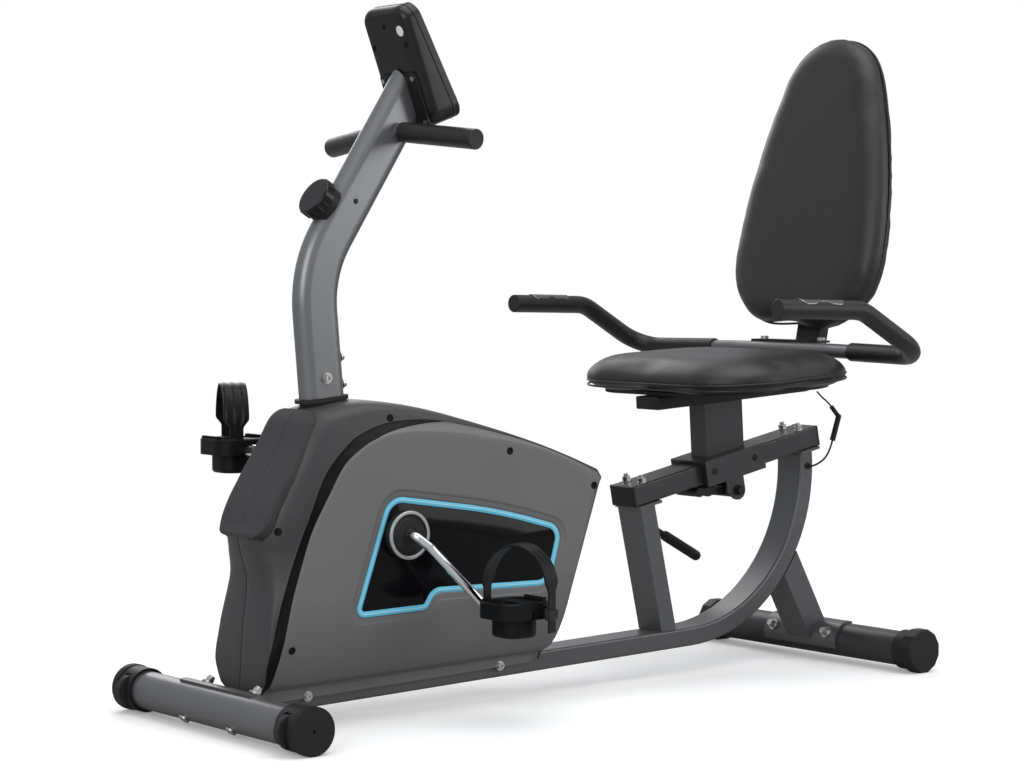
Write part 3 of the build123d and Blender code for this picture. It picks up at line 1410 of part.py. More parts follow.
def lock_lever():
    """Lock shaft with its brake arm under the rail, and a bent rod to the rider's right hand."""
    x, z = lock_point.X, lock_point.Z
    out = lug_y + lug_t
    shaft = rod_y(x, z, shaft_r, -out - 9, out + 8)
    shaft += rod_y(x, z, shaft_r + 3.5, out + 1, out + 8)
    shaft += rod_y(x, z, 9.5, -out - 2.5, -out - 0.3)
    seat = Plane(origin=(x, -out - 2.5, z), z_dir=(0, -1, 0))
    shaft += extrude(seat * RegularPolygon(6.5, 6, major_radius=False), amount=7)
    brake_end = on_rail(lug_along - 76, 0, -rail_h - 12)
    arm = rod_y(x, z, 13, -lug_y + 2, lug_y - 2) + rod_y(brake_end.X, brake_end.Z, 8, -lug_y + 8, lug_y - 8)
    reach = Vector(brake_end.X - x, brake_end.Z - z)
    normal = Vector(-reach.Y, reach.X).normalized() * 7
    here, there = Vector(x, z), Vector(brake_end.X, brake_end.Z)
    bar = polygon([here + normal, here - normal, there - normal * 0.9, there + normal * 0.9])
    arm += side_prism(bar, -lug_y + 10, lug_y - 10)
    return shaft + arm + swept_round(lever_points(), lever_radii, lever_r)


def lever_points():
    """Centre line of the lever's rod, from the lug to the end of its grip."""
    x, z = lock_point.X, lock_point.Z
    out = lug_y + lug_t + 4
    return [(x, out, z), (x, 92, z), (x - 30, lever_y, z - 8), (x - 28, lever_y, z - 74), (x + 95, lever_y, z - 141)]


def seat_plane(along, up):
    """A point in the seat's own side axes, from the middle of the cushion's underside."""
    lean = radians(seat_tilt)
    return Vector(seat_x + along * cos(lean) - up * sin(lean), 0, seat_z + along * sin(lean) + up * cos(lean))


def in_seat(shape):
    """Place a shape drawn level, with its zero at the middle of the cushion's underside."""
    return Pos(seat_x, 0, seat_z) * Rot(0, -seat_tilt, 0) * shape


def seat_frame():
    """Flat tube under the seat that turns up behind the backrest, with the handlebar's shelf."""
    mid = -board_t - frame_t / 2
    start = seat_plane(-frame_front, mid)
    lean = radians(back_lean)
    back_dir = Vector(sin(lean), 0, cos(lean))
    corner = seat_plane((back_post_x - seat_x) / cos(radians(seat_tilt)), mid)
    top = corner + back_dir * ((back_post_top - corner.Z) / back_dir.Z)
    turn = radians(90 - back_lean - seat_tilt)
    radius = 34.0
    reach = radius * tan(turn / 2)
    level = (corner - start).normalized()
    bend_in, bend_out = corner - level * reach, corner + back_dir * reach
    path = Line(start, bend_in) + TangentArc(bend_in, bend_out, tangent=level) + Line(bend_out, top)
    section = tube_section(flat_w, frame_t, tube_wall, 3.0)
    frame = swept_flat(path, section, (0, 1, 0))
    shelf_top = cross_z - bar_r
    shelf = box(cross_x - shelf_front, cross_x + shelf_back, -clamp_w / 2, clamp_w / 2, shelf_top - clamp_t, shelf_top)
    foot_x = cross_x + shelf_front
    far_x = cross_x + shelf_back - shelf_front
    foot_z = seat_under(foot_x) - board_t - 1.5
    cheek = polygon([(foot_x, foot_z), (far_x, foot_z), (far_x, shelf_top - 1), (foot_x, shelf_top - 1)])
    frame += shelf + side_prism(cheek, -flat_w / 2, -flat_w / 2 + clamp_t) + side_prism(cheek, flat_w / 2 - clamp_t, flat_w / 2)
    for y in (-clamp_y, clamp_y):
        frame -= Pos(clamp_bolt_x, y, shelf_top - 2) * Cylinder(bolt_r, 20)
    return frame


def handle_clamp():
    """Clamp plate over the seat handlebar with its two bolts."""
    low, high = cross_z + bar_r, cross_z + bar_r + clamp_t
    plate = box(cross_x - shelf_front, cross_x + shelf_back, -clamp_w / 2, clamp_w / 2, low, high)
    for y in (-clamp_y, clamp_y):
        plate -= Pos(clamp_bolt_x, y, low) * Cylinder(bolt_r, 20)
    return plate


def handle_bolts():
    """Screws of the clamp plate, with nuts below the shelf."""
    solids = []
    shelf_low = cross_z - bar_r - clamp_t
    top = cross_z + bar_r + clamp_t
    for y in (-clamp_y, clamp_y):
        shank = Pos(clamp_bolt_x, y, (shelf_low + top) / 2) * Cylinder(bolt_r, top - shelf_low + 6)
        head = Pos(clamp_bolt_x, y, top) * Cylinder(7, 5, align=(Align.CENTER, Align.CENTER, Align.MIN))
        nut = Pos(clamp_bolt_x, y, shelf_low) * extrude(RegularPolygon(6.5, 6, major_radius=False), amount=-6)
        solids += (shank + head + nut).solids()
    return Compound(children=solids)


def seat_cushion():
    """Plain crowned pad of the seat."""
    steps = 6
    rings = [(seat_foot, 0), (0, seat_foot)]
    for step in range(steps + 1):
        turn = radians(90 * step / steps)
        rings.append((seat_dome * (1 - cos(turn)), seat_side + (seat_t - seat_side) * sin(turn)))
    faces = [Pos(0, 0, up) * RectangleRounded(seat_len - 2 * back, seat_w - 2 * back, seat_corner - back)
             for back, up in rings]
    return in_seat(loft(faces, ruled=True))


def seat_board():
    """Board under the cushion, on the seat frame."""
    face = RectangleRounded(seat_len - 2 * board_in, seat_w - 2 * board_in, seat_corner - board_in)
    return in_seat(Pos(0, 0, -board_t) * extrude(face, amount=board_t))


back_front_dir = Vector(-cos(radians(back_lean)), 0, sin(radians(back_lean)))
back_up_dir = Vector(sin(radians(back_lean)), 0, cos(radians(back_lean)))


def back_plane():
    """The board's rear face: X across, Y up the backrest, Z towards the rider."""
    corner = seat_plane((back_post_x - seat_x) / cos(radians(seat_tilt)), -board_t - frame_t / 2)
    foot = corner + back_up_dir * ((back_bottom_z - corner.Z) / back_up_dir.Z)
    return Plane(origin=foot + back_front_dir * (frame_t / 2), x_dir=(0, -1, 0), z_dir=back_front_dir)


def back_outline(shrink):
    """Tapered outline, wide below and narrow at the top."""
    wide, top, height = back_wide - shrink, back_top_half - shrink, back_len - shrink
    right = [(0, shrink), (wide * 0.55, shrink + 4), (wide * 0.93, 62), (wide, 140), (wide * 0.94, 250),
             (wide * 0.72, 400), (top, height - 30), (0, height)]
    left = [(-x, y) for x, y in reversed(right[1:-1])]
    return make_face(Spline(*[Vector(*p) for p in right + left], periodic=True))


def backrest_board():
    """Board behind the backrest pad."""
    return extrude(back_plane() * back_outline(24), amount=board_t)


def backrest_pad():
    """Plain backrest pad."""
    plane = back_plane()
    pad = Pos(0, 0, board_t) * extrude(back_outline(0), amount=back_t)
    pad = fillet(pad.faces().sort_by(Axis.Z)[-1].edges(), 14.0)
    return plane * pad


def handle_points():
    """Centre line of the seat handlebar, from the left grip to the right one."""
    half = [(arm_front_x, arm_y, arm_front_z), (arm_bend_x, arm_y + bend_out, arm_front_z - 4),
            (arm_low_x, arm_y + low_out, arm_low_z), (cross_x, cross_y, cross_z)]
    left = [(x, -y, z) for x, y, z in half]
    return left + half[::-1]


def seat_handlebar():
    return swept_round(handle_points(), handle_radii, bar_r, bar_wall)


def seat_grips():
    """Long foam sleeves of the seat handlebar, closed by end caps."""
    points = handle_points()
    path = FilletPolyline(*points, radius=handle_radii)
    stop = path.length / 2 - rear_grip_in
    grip = sleeve_on(points, handle_radii, 0, stop, bar_r, grip_r)
    return both_sides(grip + end_cap(points, grip_cap_t, grip_r))


# ---------------------------------------------------------------- pulse sensor lead
def cable_grommet():
    """Rubber grommet in the riser's left side, where the lead comes out."""
    ring = rod_y(grommet_x, grommet_z, grommet_r, -flat_w / 2 - grommet_t, -flat_w / 2)
    ring = fillet(ring.edges().sort_by(Axis.Y)[:1], grommet_t / 3)
    return ring - rod_y(grommet_x, grommet_z, lead_r, -flat_w, 0)


def pulse_plug():
    """In-line plug with its elbow."""
    body = rod(plug_low, plug_high, plug_r)
    elbow = Pos(plug_high.X, plug_high.Y, plug_high.Z) * Sphere(plug_r)
    tail = rod(plug_high, plug_exit, plug_r - 1)
    return body + elbow + tail


plug_dir = (plug_high - plug_low).normalized()
tail_dir = (plug_exit - plug_high).normalized()
lead_route = [(grommet_x, -flat_w / 2, grommet_z), (grommet_x, -flat_w / 2 - 13, grommet_z),
              (grommet_x + 11, -flat_w / 2 - 22, grommet_z + 8), (grommet_x + 26, plug_y - 3, grommet_z + 15),
              tuple(plug_low - plug_dir * 16), tuple(plug_low)]


def pulse_lead():
    """Lead from the grommet to the plug."""
    return cord_tube("pulse_lead", lead_route, lead_r)


def pulse_wire():
    """Thin wire from the plug to the underside of the seat frame."""
    points = [tuple(plug_exit), tuple(plug_exit + tail_dir * 12), (riser_side_x + 24, plug_y + 6, 470),
              (riser_side_x + 18, -34, wire_top)]
    return cord_tube("pulse_wire", points, wire_r)


# ---------------------------------------------------------------- the whole bike
def build():
    parts["main_frame_tube"] = main_frame_tube()
    parts["rail_leg"] = rail_leg()
    parts["rear_strut"] = rear_strut()
    parts["inner_frame"] = inner_frame()
    parts["seat_rail"] = seat_rail()
    parts["rail_end_caps"] = rail_end_caps()
    cap_face = front_half - cap_disc
    parts["front_stabiliser"] = stabiliser_tube(0, front_axis_z, cap_face, 50) - tube_notch()
    level_face = rear_half - level_disc
    parts["rear_stabiliser"] = stabiliser_tube(rear_axis_x, rear_axis_z, level_face, 156)
    parts["frame_bolts"] = joined(stabiliser_bolts(), rail_bolts())
    parts["front_end_caps"] = front_caps()
    parts["left_transport_wheel"] = transport_wheel()
    parts["right_transport_wheel"] = mirrored(transport_wheel())
    parts["left_levelling_cap"] = levelling_cap()
    parts["right_levelling_cap"] = mirrored(levelling_cap())
    parts["mast_tube"] = mast_tube()
    parts["mast_gasket"] = mast_gasket()
    parts["frame_screws"] = joined(mast_bolts(), shell_bolts(), console_screws())
    parts["front_handlebar"] = front_handlebar()
    parts["front_grips"] = front_grips()
    parts["tension_knob"] = tension_knob()
    parts["tension_base"] = tension_base()
    parts["left_shell"] = half_shell()
    parts["right_shell"] = mirrored(parts["left_shell"])
    parts["window_panels"] = both_sides(window_panel())
    parts["disc_covers"] = both_sides(disc_cover())
    parts["crank_bearings"] = crank_bearings()
    parts["crank_axle"] = crank_axle()
    parts["left_crank_arm"] = crank_arm(left_end, -1)
    parts["right_crank_arm"] = crank_arm(right_end, 1)
    parts["drive_pulley"] = drive_pulley()
    parts["drive_belt"] = drive_belt()
    parts["flywheel"] = flywheel()
    parts["flywheel_axle"] = flywheel_axle()
    parts["magnet_arm"] = magnet_arm()
    for name, end, side in (("left", left_end, -1), ("right", right_end, 1)):
        parts[name + "_pedal"] = pedal(end, side)
        parts[name + "_pedal_strap"] = pedal_strap(end, side)
    parts["console_rear_shell"] = console_rear_shell()
    parts["console_front_shell"] = console_front_shell()
    parts["display_lens"] = display_lens()
    parts["battery_door"] = door_solid(0.3)
    parts["console_bracket"] = console_bracket()
    parts["left_button"] = button(button_y)
    parts["right_button"] = button(-button_y)
    parts["seat_carriage"] = seat_carriage()
    parts["slide_pads"] = slide_pads()
    parts["lock_lever"] = lock_lever()
    parts["seat_frame"] = seat_frame()
    parts["handle_clamp"] = handle_clamp()
    parts["handle_bolts"] = handle_bolts()
    parts["pad_boards"] = joined(seat_board(), backrest_board())
    parts["seat_cushion"] = seat_cushion()
    parts["backrest_pad"] = backrest_pad()
    parts["seat_handlebar"] = seat_handlebar()
    parts["seat_grips"] = seat_grips()
    parts["cable_grommet"] = cable_grommet()
    parts["pulse_plug"] = pulse_plug()
    parts["pulse_lead"] = pulse_lead()
    parts["pulse_wire"] = pulse_wire()


build()
low_x = min(shape.bounding_box().min.X for shape in parts.values())
high_x = max(shape.bounding_box().max.X for shape in parts.values())
middle_x = (low_x + high_x) / 2
os.makedirs("parts", exist_ok=True)
for name, shape in parts.items():
    export_step(Pos(-middle_x, 0, 0) * shape, "parts/" + name + ".step")
print("nodes", len(parts), "middle_x", round(middle_x, 3))
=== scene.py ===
# %% [markdown]
# # A recumbent exercise bike, dressed for rendering
# The bike's frame, joints and moving parts come packed from the workshop's solid model. This lesson
# adds what a solid model leaves out: finishes, padded covers, moulded skins and small trim. It starts
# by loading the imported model, because every place below is read from it or written in the same axes.

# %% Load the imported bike
import math
import bmesh
import bpy
import numpy as np
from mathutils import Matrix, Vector


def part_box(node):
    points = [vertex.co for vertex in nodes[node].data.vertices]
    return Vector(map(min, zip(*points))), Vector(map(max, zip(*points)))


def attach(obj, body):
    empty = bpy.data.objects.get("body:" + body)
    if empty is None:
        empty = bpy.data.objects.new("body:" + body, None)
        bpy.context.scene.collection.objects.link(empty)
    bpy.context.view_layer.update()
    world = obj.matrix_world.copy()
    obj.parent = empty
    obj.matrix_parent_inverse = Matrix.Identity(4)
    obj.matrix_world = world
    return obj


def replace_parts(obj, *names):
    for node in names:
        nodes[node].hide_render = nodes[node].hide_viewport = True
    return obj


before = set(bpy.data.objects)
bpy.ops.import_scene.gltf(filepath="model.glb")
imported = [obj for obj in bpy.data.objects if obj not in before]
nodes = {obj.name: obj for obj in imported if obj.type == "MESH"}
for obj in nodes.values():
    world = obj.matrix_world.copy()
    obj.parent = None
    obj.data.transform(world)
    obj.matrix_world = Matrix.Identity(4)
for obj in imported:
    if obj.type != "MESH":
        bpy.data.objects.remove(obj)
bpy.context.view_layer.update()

# %% [markdown]
# ## Where things are
# The bike's drawings give lengths in millimetres from the front stabiliser's axis, backwards along X.
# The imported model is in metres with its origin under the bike's middle, so one helper turns a drawing
# point into a model point. It works on whole arrays as well as on single points.

# %% Drawing axes
stabiliser_low, stabiliser_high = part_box("front_stabiliser")
front_axis = (stabiliser_low[0] + stabiliser_high[0]) / 2


def at(x, y, z):
    """Drawing millimetres to model metres: X is shifted by the stabiliser's axis, then all / 1000."""
    x, y, z = np.broadcast_arrays(np.asarray(x, float), np.asarray(y, float), np.asarray(z, float))
    return np.stack([x / 1000 + front_axis, y / 1000, z / 1000], axis=-1)


print("front axis at", round(front_axis, 5))

# %% [markdown]
# ## Mesh helpers
# Every new piece is a surface over a grid of two parameters. The grid's corner points come as one
# array with the shape (rows, columns, 3), and its faces are counted out by numpy in one go. Working on
# whole arrays keeps the formulas readable, and they can be checked against the drawings.


# %% Faces of a grid
def grid_faces(rows, columns, close_rows=False, close_columns=False):
    """Quads of a rows x columns grid: each is (i, j), (i, j+1), (i+1, j+1), (i+1, j)."""
    i, j = np.meshgrid(np.arange(rows - (not close_rows)), np.arange(columns - (not close_columns)),
                       indexing="ij")
    up, right = (i + 1) % rows, (j + 1) % columns
    quads = np.stack([i * columns + j, i * columns + right, up * columns + right, up * columns + j], axis=-1)
    return quads.reshape(-1, 4)


def fan_faces(ring, centre, flip=False):
    """Triangles from one centre vertex to each edge of a closed ring of vertex numbers."""
    after = np.roll(ring, -1)
    tips = np.full(len(ring), centre)
    return np.stack([tips, after, ring] if flip else [tips, ring, after], axis=-1)


print("a 3 x 4 grid has", len(grid_faces(3, 4)), "quads")

# %% [markdown]
# A piece is a mesh in an object, and it rides on one of the bike's moving bodies. Smooth shading hides
# the grid's facets, and edges sharper than a set angle stay crisp, as a moulded or turned edge does.
# Most pieces are closed, so their doubled points are merged and their faces turned outwards: a renderer
# and a printer both need to know which side is out.

# %% Pieces from points and faces
crisp_angle = math.radians(35)


def make_piece(name, vertices, faces, body, material):
    """Put vertices and faces in a mesh, shade it smooth except across crisp edges, and ride it on a body."""
    mesh = bpy.data.meshes.new(name)
    faces = faces.tolist() if isinstance(faces, np.ndarray) else faces
    mesh.from_pydata(np.asarray(vertices).reshape(-1, 3).tolist(), [], faces)
    mesh.validate()
    mesh.update()
    mesh.materials.append(material)
    mesh.polygons.foreach_set("use_smooth", np.ones(len(mesh.polygons), bool))
    mesh.set_sharp_from_angle(angle=crisp_angle)
    piece = bpy.data.objects.new(name, mesh)
    bpy.context.scene.collection.objects.link(piece)
    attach(piece, body)
    return piece


def outward(piece):
    """Merge doubled points and turn all faces outwards on a closed piece."""
    work = bmesh.new()
    work.from_mesh(piece.data)
    bmesh.ops.remove_doubles(work, verts=work.verts, dist=1e-6)
    bmesh.ops.recalc_face_normals(work, faces=work.faces)
    work.to_mesh(piece.data)
    work.free()
    piece.data.set_sharp_from_angle(angle=crisp_angle)
    return piece


def closed_stack(name, rings, body, material):
    """A closed solid from a stack of rings (rows, columns, 3), with a fan over each end."""
    rings = np.asarray(rings)
    rows, columns = rings.shape[:2]
    points = np.concatenate([rings.reshape(-1, 3), rings[:1].mean(axis=1), rings[-1:].mean(axis=1)])
    quads = grid_faces(rows, columns, close_columns=True)
    first = fan_faces(np.arange(columns), rows * columns, flip=True)
    last = fan_faces(np.arange(columns) + (rows - 1) * columns, rows * columns + 1)
    return outward(make_piece(name, points, quads.tolist() + first.tolist() + last.tolist(), body, material))


print("edges sharper than", round(math.degrees(crisp_angle)), "degrees stay crisp")

# %% [markdown]
# Moulded parts are drawn with few points and smooth curves between them. A natural cubic spline keeps
# such a line free of kinks, and an outline of straight runs gets an arc at each corner. Reading an
# outline again at even steps keeps the faces that hang on it even too.


# %% Curves and outlines
def smooth_through(points, count):
    """A natural cubic spline through a few points, read at count even steps of chord length."""
    points = np.asarray(points, float)
    knots = np.concatenate([[0], np.cumsum(np.linalg.norm(np.diff(points, axis=0), axis=1))])
    gaps = np.diff(knots)
    size = len(points)
    system, right = np.eye(size), np.zeros(points.shape)
    inner = np.arange(1, size - 1)
    system[inner, inner - 1], system[inner, inner + 1] = gaps[:-1], gaps[1:]
    system[inner, inner] = 2 * (gaps[:-1] + gaps[1:])
    slopes = np.diff(points, axis=0) / gaps[:, None]
    right[inner] = 6 * (slopes[1:] - slopes[:-1])
    bends = np.linalg.solve(system, right)
    where = np.linspace(0, knots[-1], count)
    span = np.clip(np.searchsorted(knots, where, side="right") - 1, 0, size - 2)
    a, b, h = (where - knots[span])[:, None], (knots[span + 1] - where)[:, None], gaps[span][:, None]
    low, high = points[span], points[span + 1]
    return (bends[span] * b ** 3 + bends[span + 1] * a ** 3) / (6 * h) + (low / h - bends[span] * h / 6) * b + (
        high / h - bends[span + 1] * h / 6) * a


def rounded_outline(corners, per_corner=10):
    """A closed outline through (x, z, radius) corners, with an arc at each and straight runs between."""
    corners = np.asarray(corners, float)
    here, radius = corners[:, :2], corners[:, 2]
    into = np.roll(here, 1, axis=0) - here
    out = np.roll(here, -1, axis=0) - here
    into /= np.linalg.norm(into, axis=1)[:, None]
    out /= np.linalg.norm(out, axis=1)[:, None]
    half = np.arccos(np.clip((into * out).sum(axis=1), -1, 1)) / 2
    middle = into + out
    middle /= np.linalg.norm(middle, axis=1)[:, None]
    centre = here + middle * (radius / np.sin(half))[:, None]
    sweep = np.linspace(-1, 1, per_corner)[None, :, None] * (math.pi / 2 - half)[:, None, None]
    side = np.where((into[:, 0] * out[:, 1] - into[:, 1] * out[:, 0]) > 0, 1.0, -1.0)[:, None]
    across = np.stack([-middle[:, 1], middle[:, 0]], axis=1) * side
    arc = centre[:, None, :] + radius[:, None, None] * (
        -np.cos(sweep) * middle[:, None, :] + np.sin(sweep) * across[:, None, :])
    return arc.reshape(-1, 2)


def resample(outline, count):
    """A closed outline read again at count even steps of its length."""
    outline = np.asarray(outline, float)
    ring = np.concatenate([outline, outline[:1]])
    length = np.concatenate([[0], np.cumsum(np.linalg.norm(np.diff(ring, axis=0), axis=1))])
    steps = np.linspace(0, length[-1], count, endpoint=False)
    return np.stack([np.interp(steps, length, ring[:, 0]), np.interp(steps, length, ring[:, 1])], axis=1)


def drawn_in(outline, amount):
    """A closed outline moved inwards by an amount along its normals."""
    ahead, behind = np.roll(outline, -1, axis=0), np.roll(outline, 1, axis=0)
    run = ahead - behind
    normal = np.stack([-run[:, 1], run[:, 0]], axis=1) / np.maximum(np.linalg.norm(run, axis=1), 1e-9)[:, None]
    area = 0.5 * np.sum(outline[:, 0] * ahead[:, 1] - ahead[:, 0] * outline[:, 1])
    return outline + normal * (amount if area > 0 else -amount)


print("a rounded square has", len(rounded_outline([(0, 0, 1), (4, 0, 1), (4, 4, 1), (0, 4, 1)])), "points")

# %% [markdown]
# Round parts, such as covers and screw heads, are turned: one profile of radii and heights goes round
# an axis, as on a lathe. A welt or a trim line is a bead, a small circle carried along a closed path.


# %% Turned parts and beads
def lathe(name, origin, axis, profile, body, material, sides=64, ribs=0, rib_depth=0.0):
    """A profile of (radius, height) turned about an axis; ribs ripple its radius as cos(ribs x angle)."""
    axis = np.asarray(axis, float) / np.linalg.norm(axis)
    helper = np.array([0.0, 0.0, 1.0]) if abs(axis[2]) < 0.9 else np.array([1.0, 0.0, 0.0])
    across = np.cross(helper, axis)
    across /= np.linalg.norm(across)
    other = np.cross(axis, across)
    angle = np.linspace(0, 2 * math.pi, sides, endpoint=False)
    profile = np.asarray(profile, float)
    radius = profile[:, :1] * (1 + rib_depth * np.cos(ribs * angle)[None, :])
    ring = across * np.cos(angle)[:, None] + other * np.sin(angle)[:, None]
    rings = np.asarray(origin) + ring[None] * radius[:, :, None] + axis * profile[:, 1][:, None, None]
    return closed_stack(name, rings, body, material)


def looped(name, path, radius, body, material, up=(0, 0, 1), sides=10):
    """A round bead along a closed path: at each point a ring of side x cos + lift x sin, times the radius."""
    ahead = np.roll(path, -1, axis=0) - np.roll(path, 1, axis=0)
    ahead /= np.linalg.norm(ahead, axis=1)[:, None]
    side = np.cross(np.asarray(up, float)[None, :], ahead)
    side /= np.linalg.norm(side, axis=1)[:, None]
    lift = np.cross(ahead, side)
    angle = np.linspace(0, 2 * math.pi, sides, endpoint=False)[None, :, None]
    rings = path[:, None, :] + radius * (side[:, None, :] * np.cos(angle) + lift[:, None, :] * np.sin(angle))
    return outward(make_piece(name, rings, grid_faces(len(path), sides, True, True), body, material))


print("a bead along 100 points has", len(grid_faces(100, 10, True, True)), "quads")

# %% [markdown]
# ## Finishes
# Real surfaces are never one flat colour. Paint has a fine orange peel, moulded plastic has a spark
# texture, vinyl has a grain. Effects that several finishes share are node groups with named inputs,
# built once: a fine grain that changes roughness and height, and a slow variation of the colour, as
# from handling and dust. Patterns use Object coordinates, so that they stay put when a piece moves.


# %% Shared shader groups
def new_group(name, inputs, outputs):
    """A shader node group with float or colour sockets, and its input and output nodes."""
    group = bpy.data.node_groups.new(name, "ShaderNodeTree")
    for label, kind, value in inputs:
        socket = group.interface.new_socket(name=label, in_out="INPUT", socket_type=kind)
        socket.default_value = value
    for label, kind in outputs:
        group.interface.new_socket(name=label, in_out="OUTPUT", socket_type=kind)
    return group, group.nodes.new("NodeGroupInput"), group.nodes.new("NodeGroupOutput")


def math_node(tree, operation, first, second, clamp=False):
    """A Math node with each input a socket or a number."""
    node = tree.nodes.new("ShaderNodeMath")
    node.operation = operation
    node.use_clamp = clamp
    for socket, value in zip(node.inputs, (first, second)):
        if hasattr(value, "node"):
            tree.links.new(value, socket)
        else:
            socket.default_value = value
    return node.outputs[0]


def noise_node(tree, vector, scale, detail=3.0, roughness=0.5):
    """A Noise Texture node's value, with a scale that is a socket or a number."""
    node = tree.nodes.new("ShaderNodeTexNoise")
    node.inputs["Detail"].default_value = detail
    node.inputs["Roughness"].default_value = roughness
    tree.links.new(vector, node.inputs["Vector"])
    if hasattr(scale, "node"):
        tree.links.new(scale, node.inputs["Scale"])
    else:
        node.inputs["Scale"].default_value = scale
    return node.outputs["Fac"]


number, tint = "NodeSocketFloat", "NodeSocketColor"

grain_group, grain_in, grain_out = new_group(
    "fine grain",
    [("Scale", number, 900.0), ("Roughness", number, 0.5), ("Spread", number, 0.08)],
    [("Roughness", number), ("Height", number)])
coordinates = grain_group.nodes.new("ShaderNodeTexCoord").outputs["Object"]
speck = noise_node(grain_group, coordinates, grain_in.outputs["Scale"])
slow = noise_node(grain_group, coordinates, 14.0, 4.0)
drift = math_node(grain_group, "SUBTRACT", math_node(grain_group, "ADD", speck, slow), 1.0)
spread = math_node(grain_group, "MULTIPLY", drift, grain_in.outputs["Spread"])
grain_group.links.new(math_node(grain_group, "ADD", grain_in.outputs["Roughness"], spread, True),
                      grain_out.inputs["Roughness"])
grain_group.links.new(speck, grain_out.inputs["Height"])

tone_group, tone_in, tone_out = new_group(
    "handled tone",
    [("Color", tint, (0.1, 0.1, 0.1, 1)), ("Amount", number, 0.12), ("Scale", number, 6.0)],
    [("Color", tint)])
coordinates = tone_group.nodes.new("ShaderNodeTexCoord").outputs["Object"]
cloud = noise_node(tone_group, coordinates, tone_in.outputs["Scale"], 5.0, 0.55)
swing = math_node(tone_group, "MULTIPLY", math_node(tone_group, "SUBTRACT", cloud, 0.5), tone_in.outputs["Amount"])
level = math_node(tone_group, "ADD", swing, 1.0)
scaled = tone_group.nodes.new("ShaderNodeVectorMath")
scaled.operation = "SCALE"
tone_group.links.new(tone_in.outputs["Color"], scaled.inputs[0])
tone_group.links.new(level, scaled.inputs["Scale"])
tone_group.links.new(scaled.outputs["Vector"], tone_out.inputs["Color"])
print("grain group's sockets", [socket.name for socket in grain_group.interface.items_tree])

# %% [markdown]
# One function lays out the common finish: the two groups feed colour, roughness and a Bump node of one
# Principled shader. What makes a finish its own, such as metal flakes, a leather grain or foam cells,
# is passed in as a short function that returns one more height.


# %% The common finish
def finish(name, color, roughness, metallic=0.0, grain=900.0, bump=0.08, spread=0.1, tone=0.12,
           coat=0.0, coat_roughness=0.1, relief=None, relief_bump=0.3, specular=0.5):
    """One Principled material: toned colour, grained roughness, and a bump from the grain and a relief."""
    material = bpy.data.materials.new(name)
    material.use_nodes = True
    material.diffuse_color = (*color, 1)
    tree = material.node_tree
    shader = tree.nodes["Principled BSDF"]
    shader.inputs["Metallic"].default_value = metallic
    shader.inputs["Coat Weight"].default_value = coat
    shader.inputs["Coat Roughness"].default_value = coat_roughness
    shader.inputs["Specular IOR Level"].default_value = specular
    toned = tree.nodes.new("ShaderNodeGroup")
    toned.node_tree = tone_group
    toned.inputs["Color"].default_value = (*color, 1)
    toned.inputs["Amount"].default_value = tone
    tree.links.new(toned.outputs["Color"], shader.inputs["Base Color"])
    grained = tree.nodes.new("ShaderNodeGroup")
    grained.node_tree = grain_group
    grained.inputs["Scale"].default_value = grain
    grained.inputs["Roughness"].default_value = roughness
    grained.inputs["Spread"].default_value = spread
    tree.links.new(grained.outputs["Roughness"], shader.inputs["Roughness"])
    lift = tree.nodes.new("ShaderNodeBump")
    lift.inputs["Strength"].default_value = bump
    lift.inputs["Distance"].default_value = 0.0004
    tree.links.new(grained.outputs["Height"], lift.inputs["Height"])
    normal = lift.outputs["Normal"]
    if relief:
        second = tree.nodes.new("ShaderNodeBump")
        second.inputs["Strength"].default_value = relief_bump
        second.inputs["Distance"].default_value = 0.001
        tree.links.new(relief(tree), second.inputs["Height"])
        tree.links.new(normal, second.inputs["Normal"])
        normal = second.outputs["Normal"]
    tree.links.new(normal, shader.inputs["Normal"])
    return material


def object_coordinates(tree):
    """Places on the piece itself, so that a pattern stays put when the piece moves."""
    return tree.nodes.new("ShaderNodeTexCoord").outputs["Object"]


def cells(scale, feature="F1"):
    """A relief of small cells, as in leather or foam."""
    def build(tree):
        """The distance to the nearest cell, or to its edge, as a height."""
        node = tree.nodes.new("ShaderNodeTexVoronoi")
        node.feature = feature
        node.inputs["Scale"].default_value = scale
        tree.links.new(object_coordinates(tree), node.inputs["Vector"])
        return node.outputs["Distance"]
    return build


def leather_relief(tree):
    """Small grain cells, with slow soft creases over them."""
    small = cells(420.0, "DISTANCE_TO_EDGE")(tree)
    crease = noise_node(tree, object_coordinates(tree), 11.0, 2.0, 0.45)
    flat = math_node(tree, "MINIMUM", math_node(tree, "MULTIPLY", small, 3.0), 0.5)
    return math_node(tree, "ADD", math_node(tree, "MULTIPLY", flat, 0.5), math_node(tree, "MULTIPLY", crease, 1.6))


def brushed(tree):
    """Fine lines along Y, as on turned or drawn steel."""
    stretch = tree.nodes.new("ShaderNodeMapping")
    stretch.inputs["Scale"].default_value = (900, 12, 900)
    tree.links.new(object_coordinates(tree), stretch.inputs["Vector"])
    return noise_node(tree, stretch.outputs["Vector"], 1.0, 2.0)


print("shared groups", [group.name for group in bpy.data.node_groups])
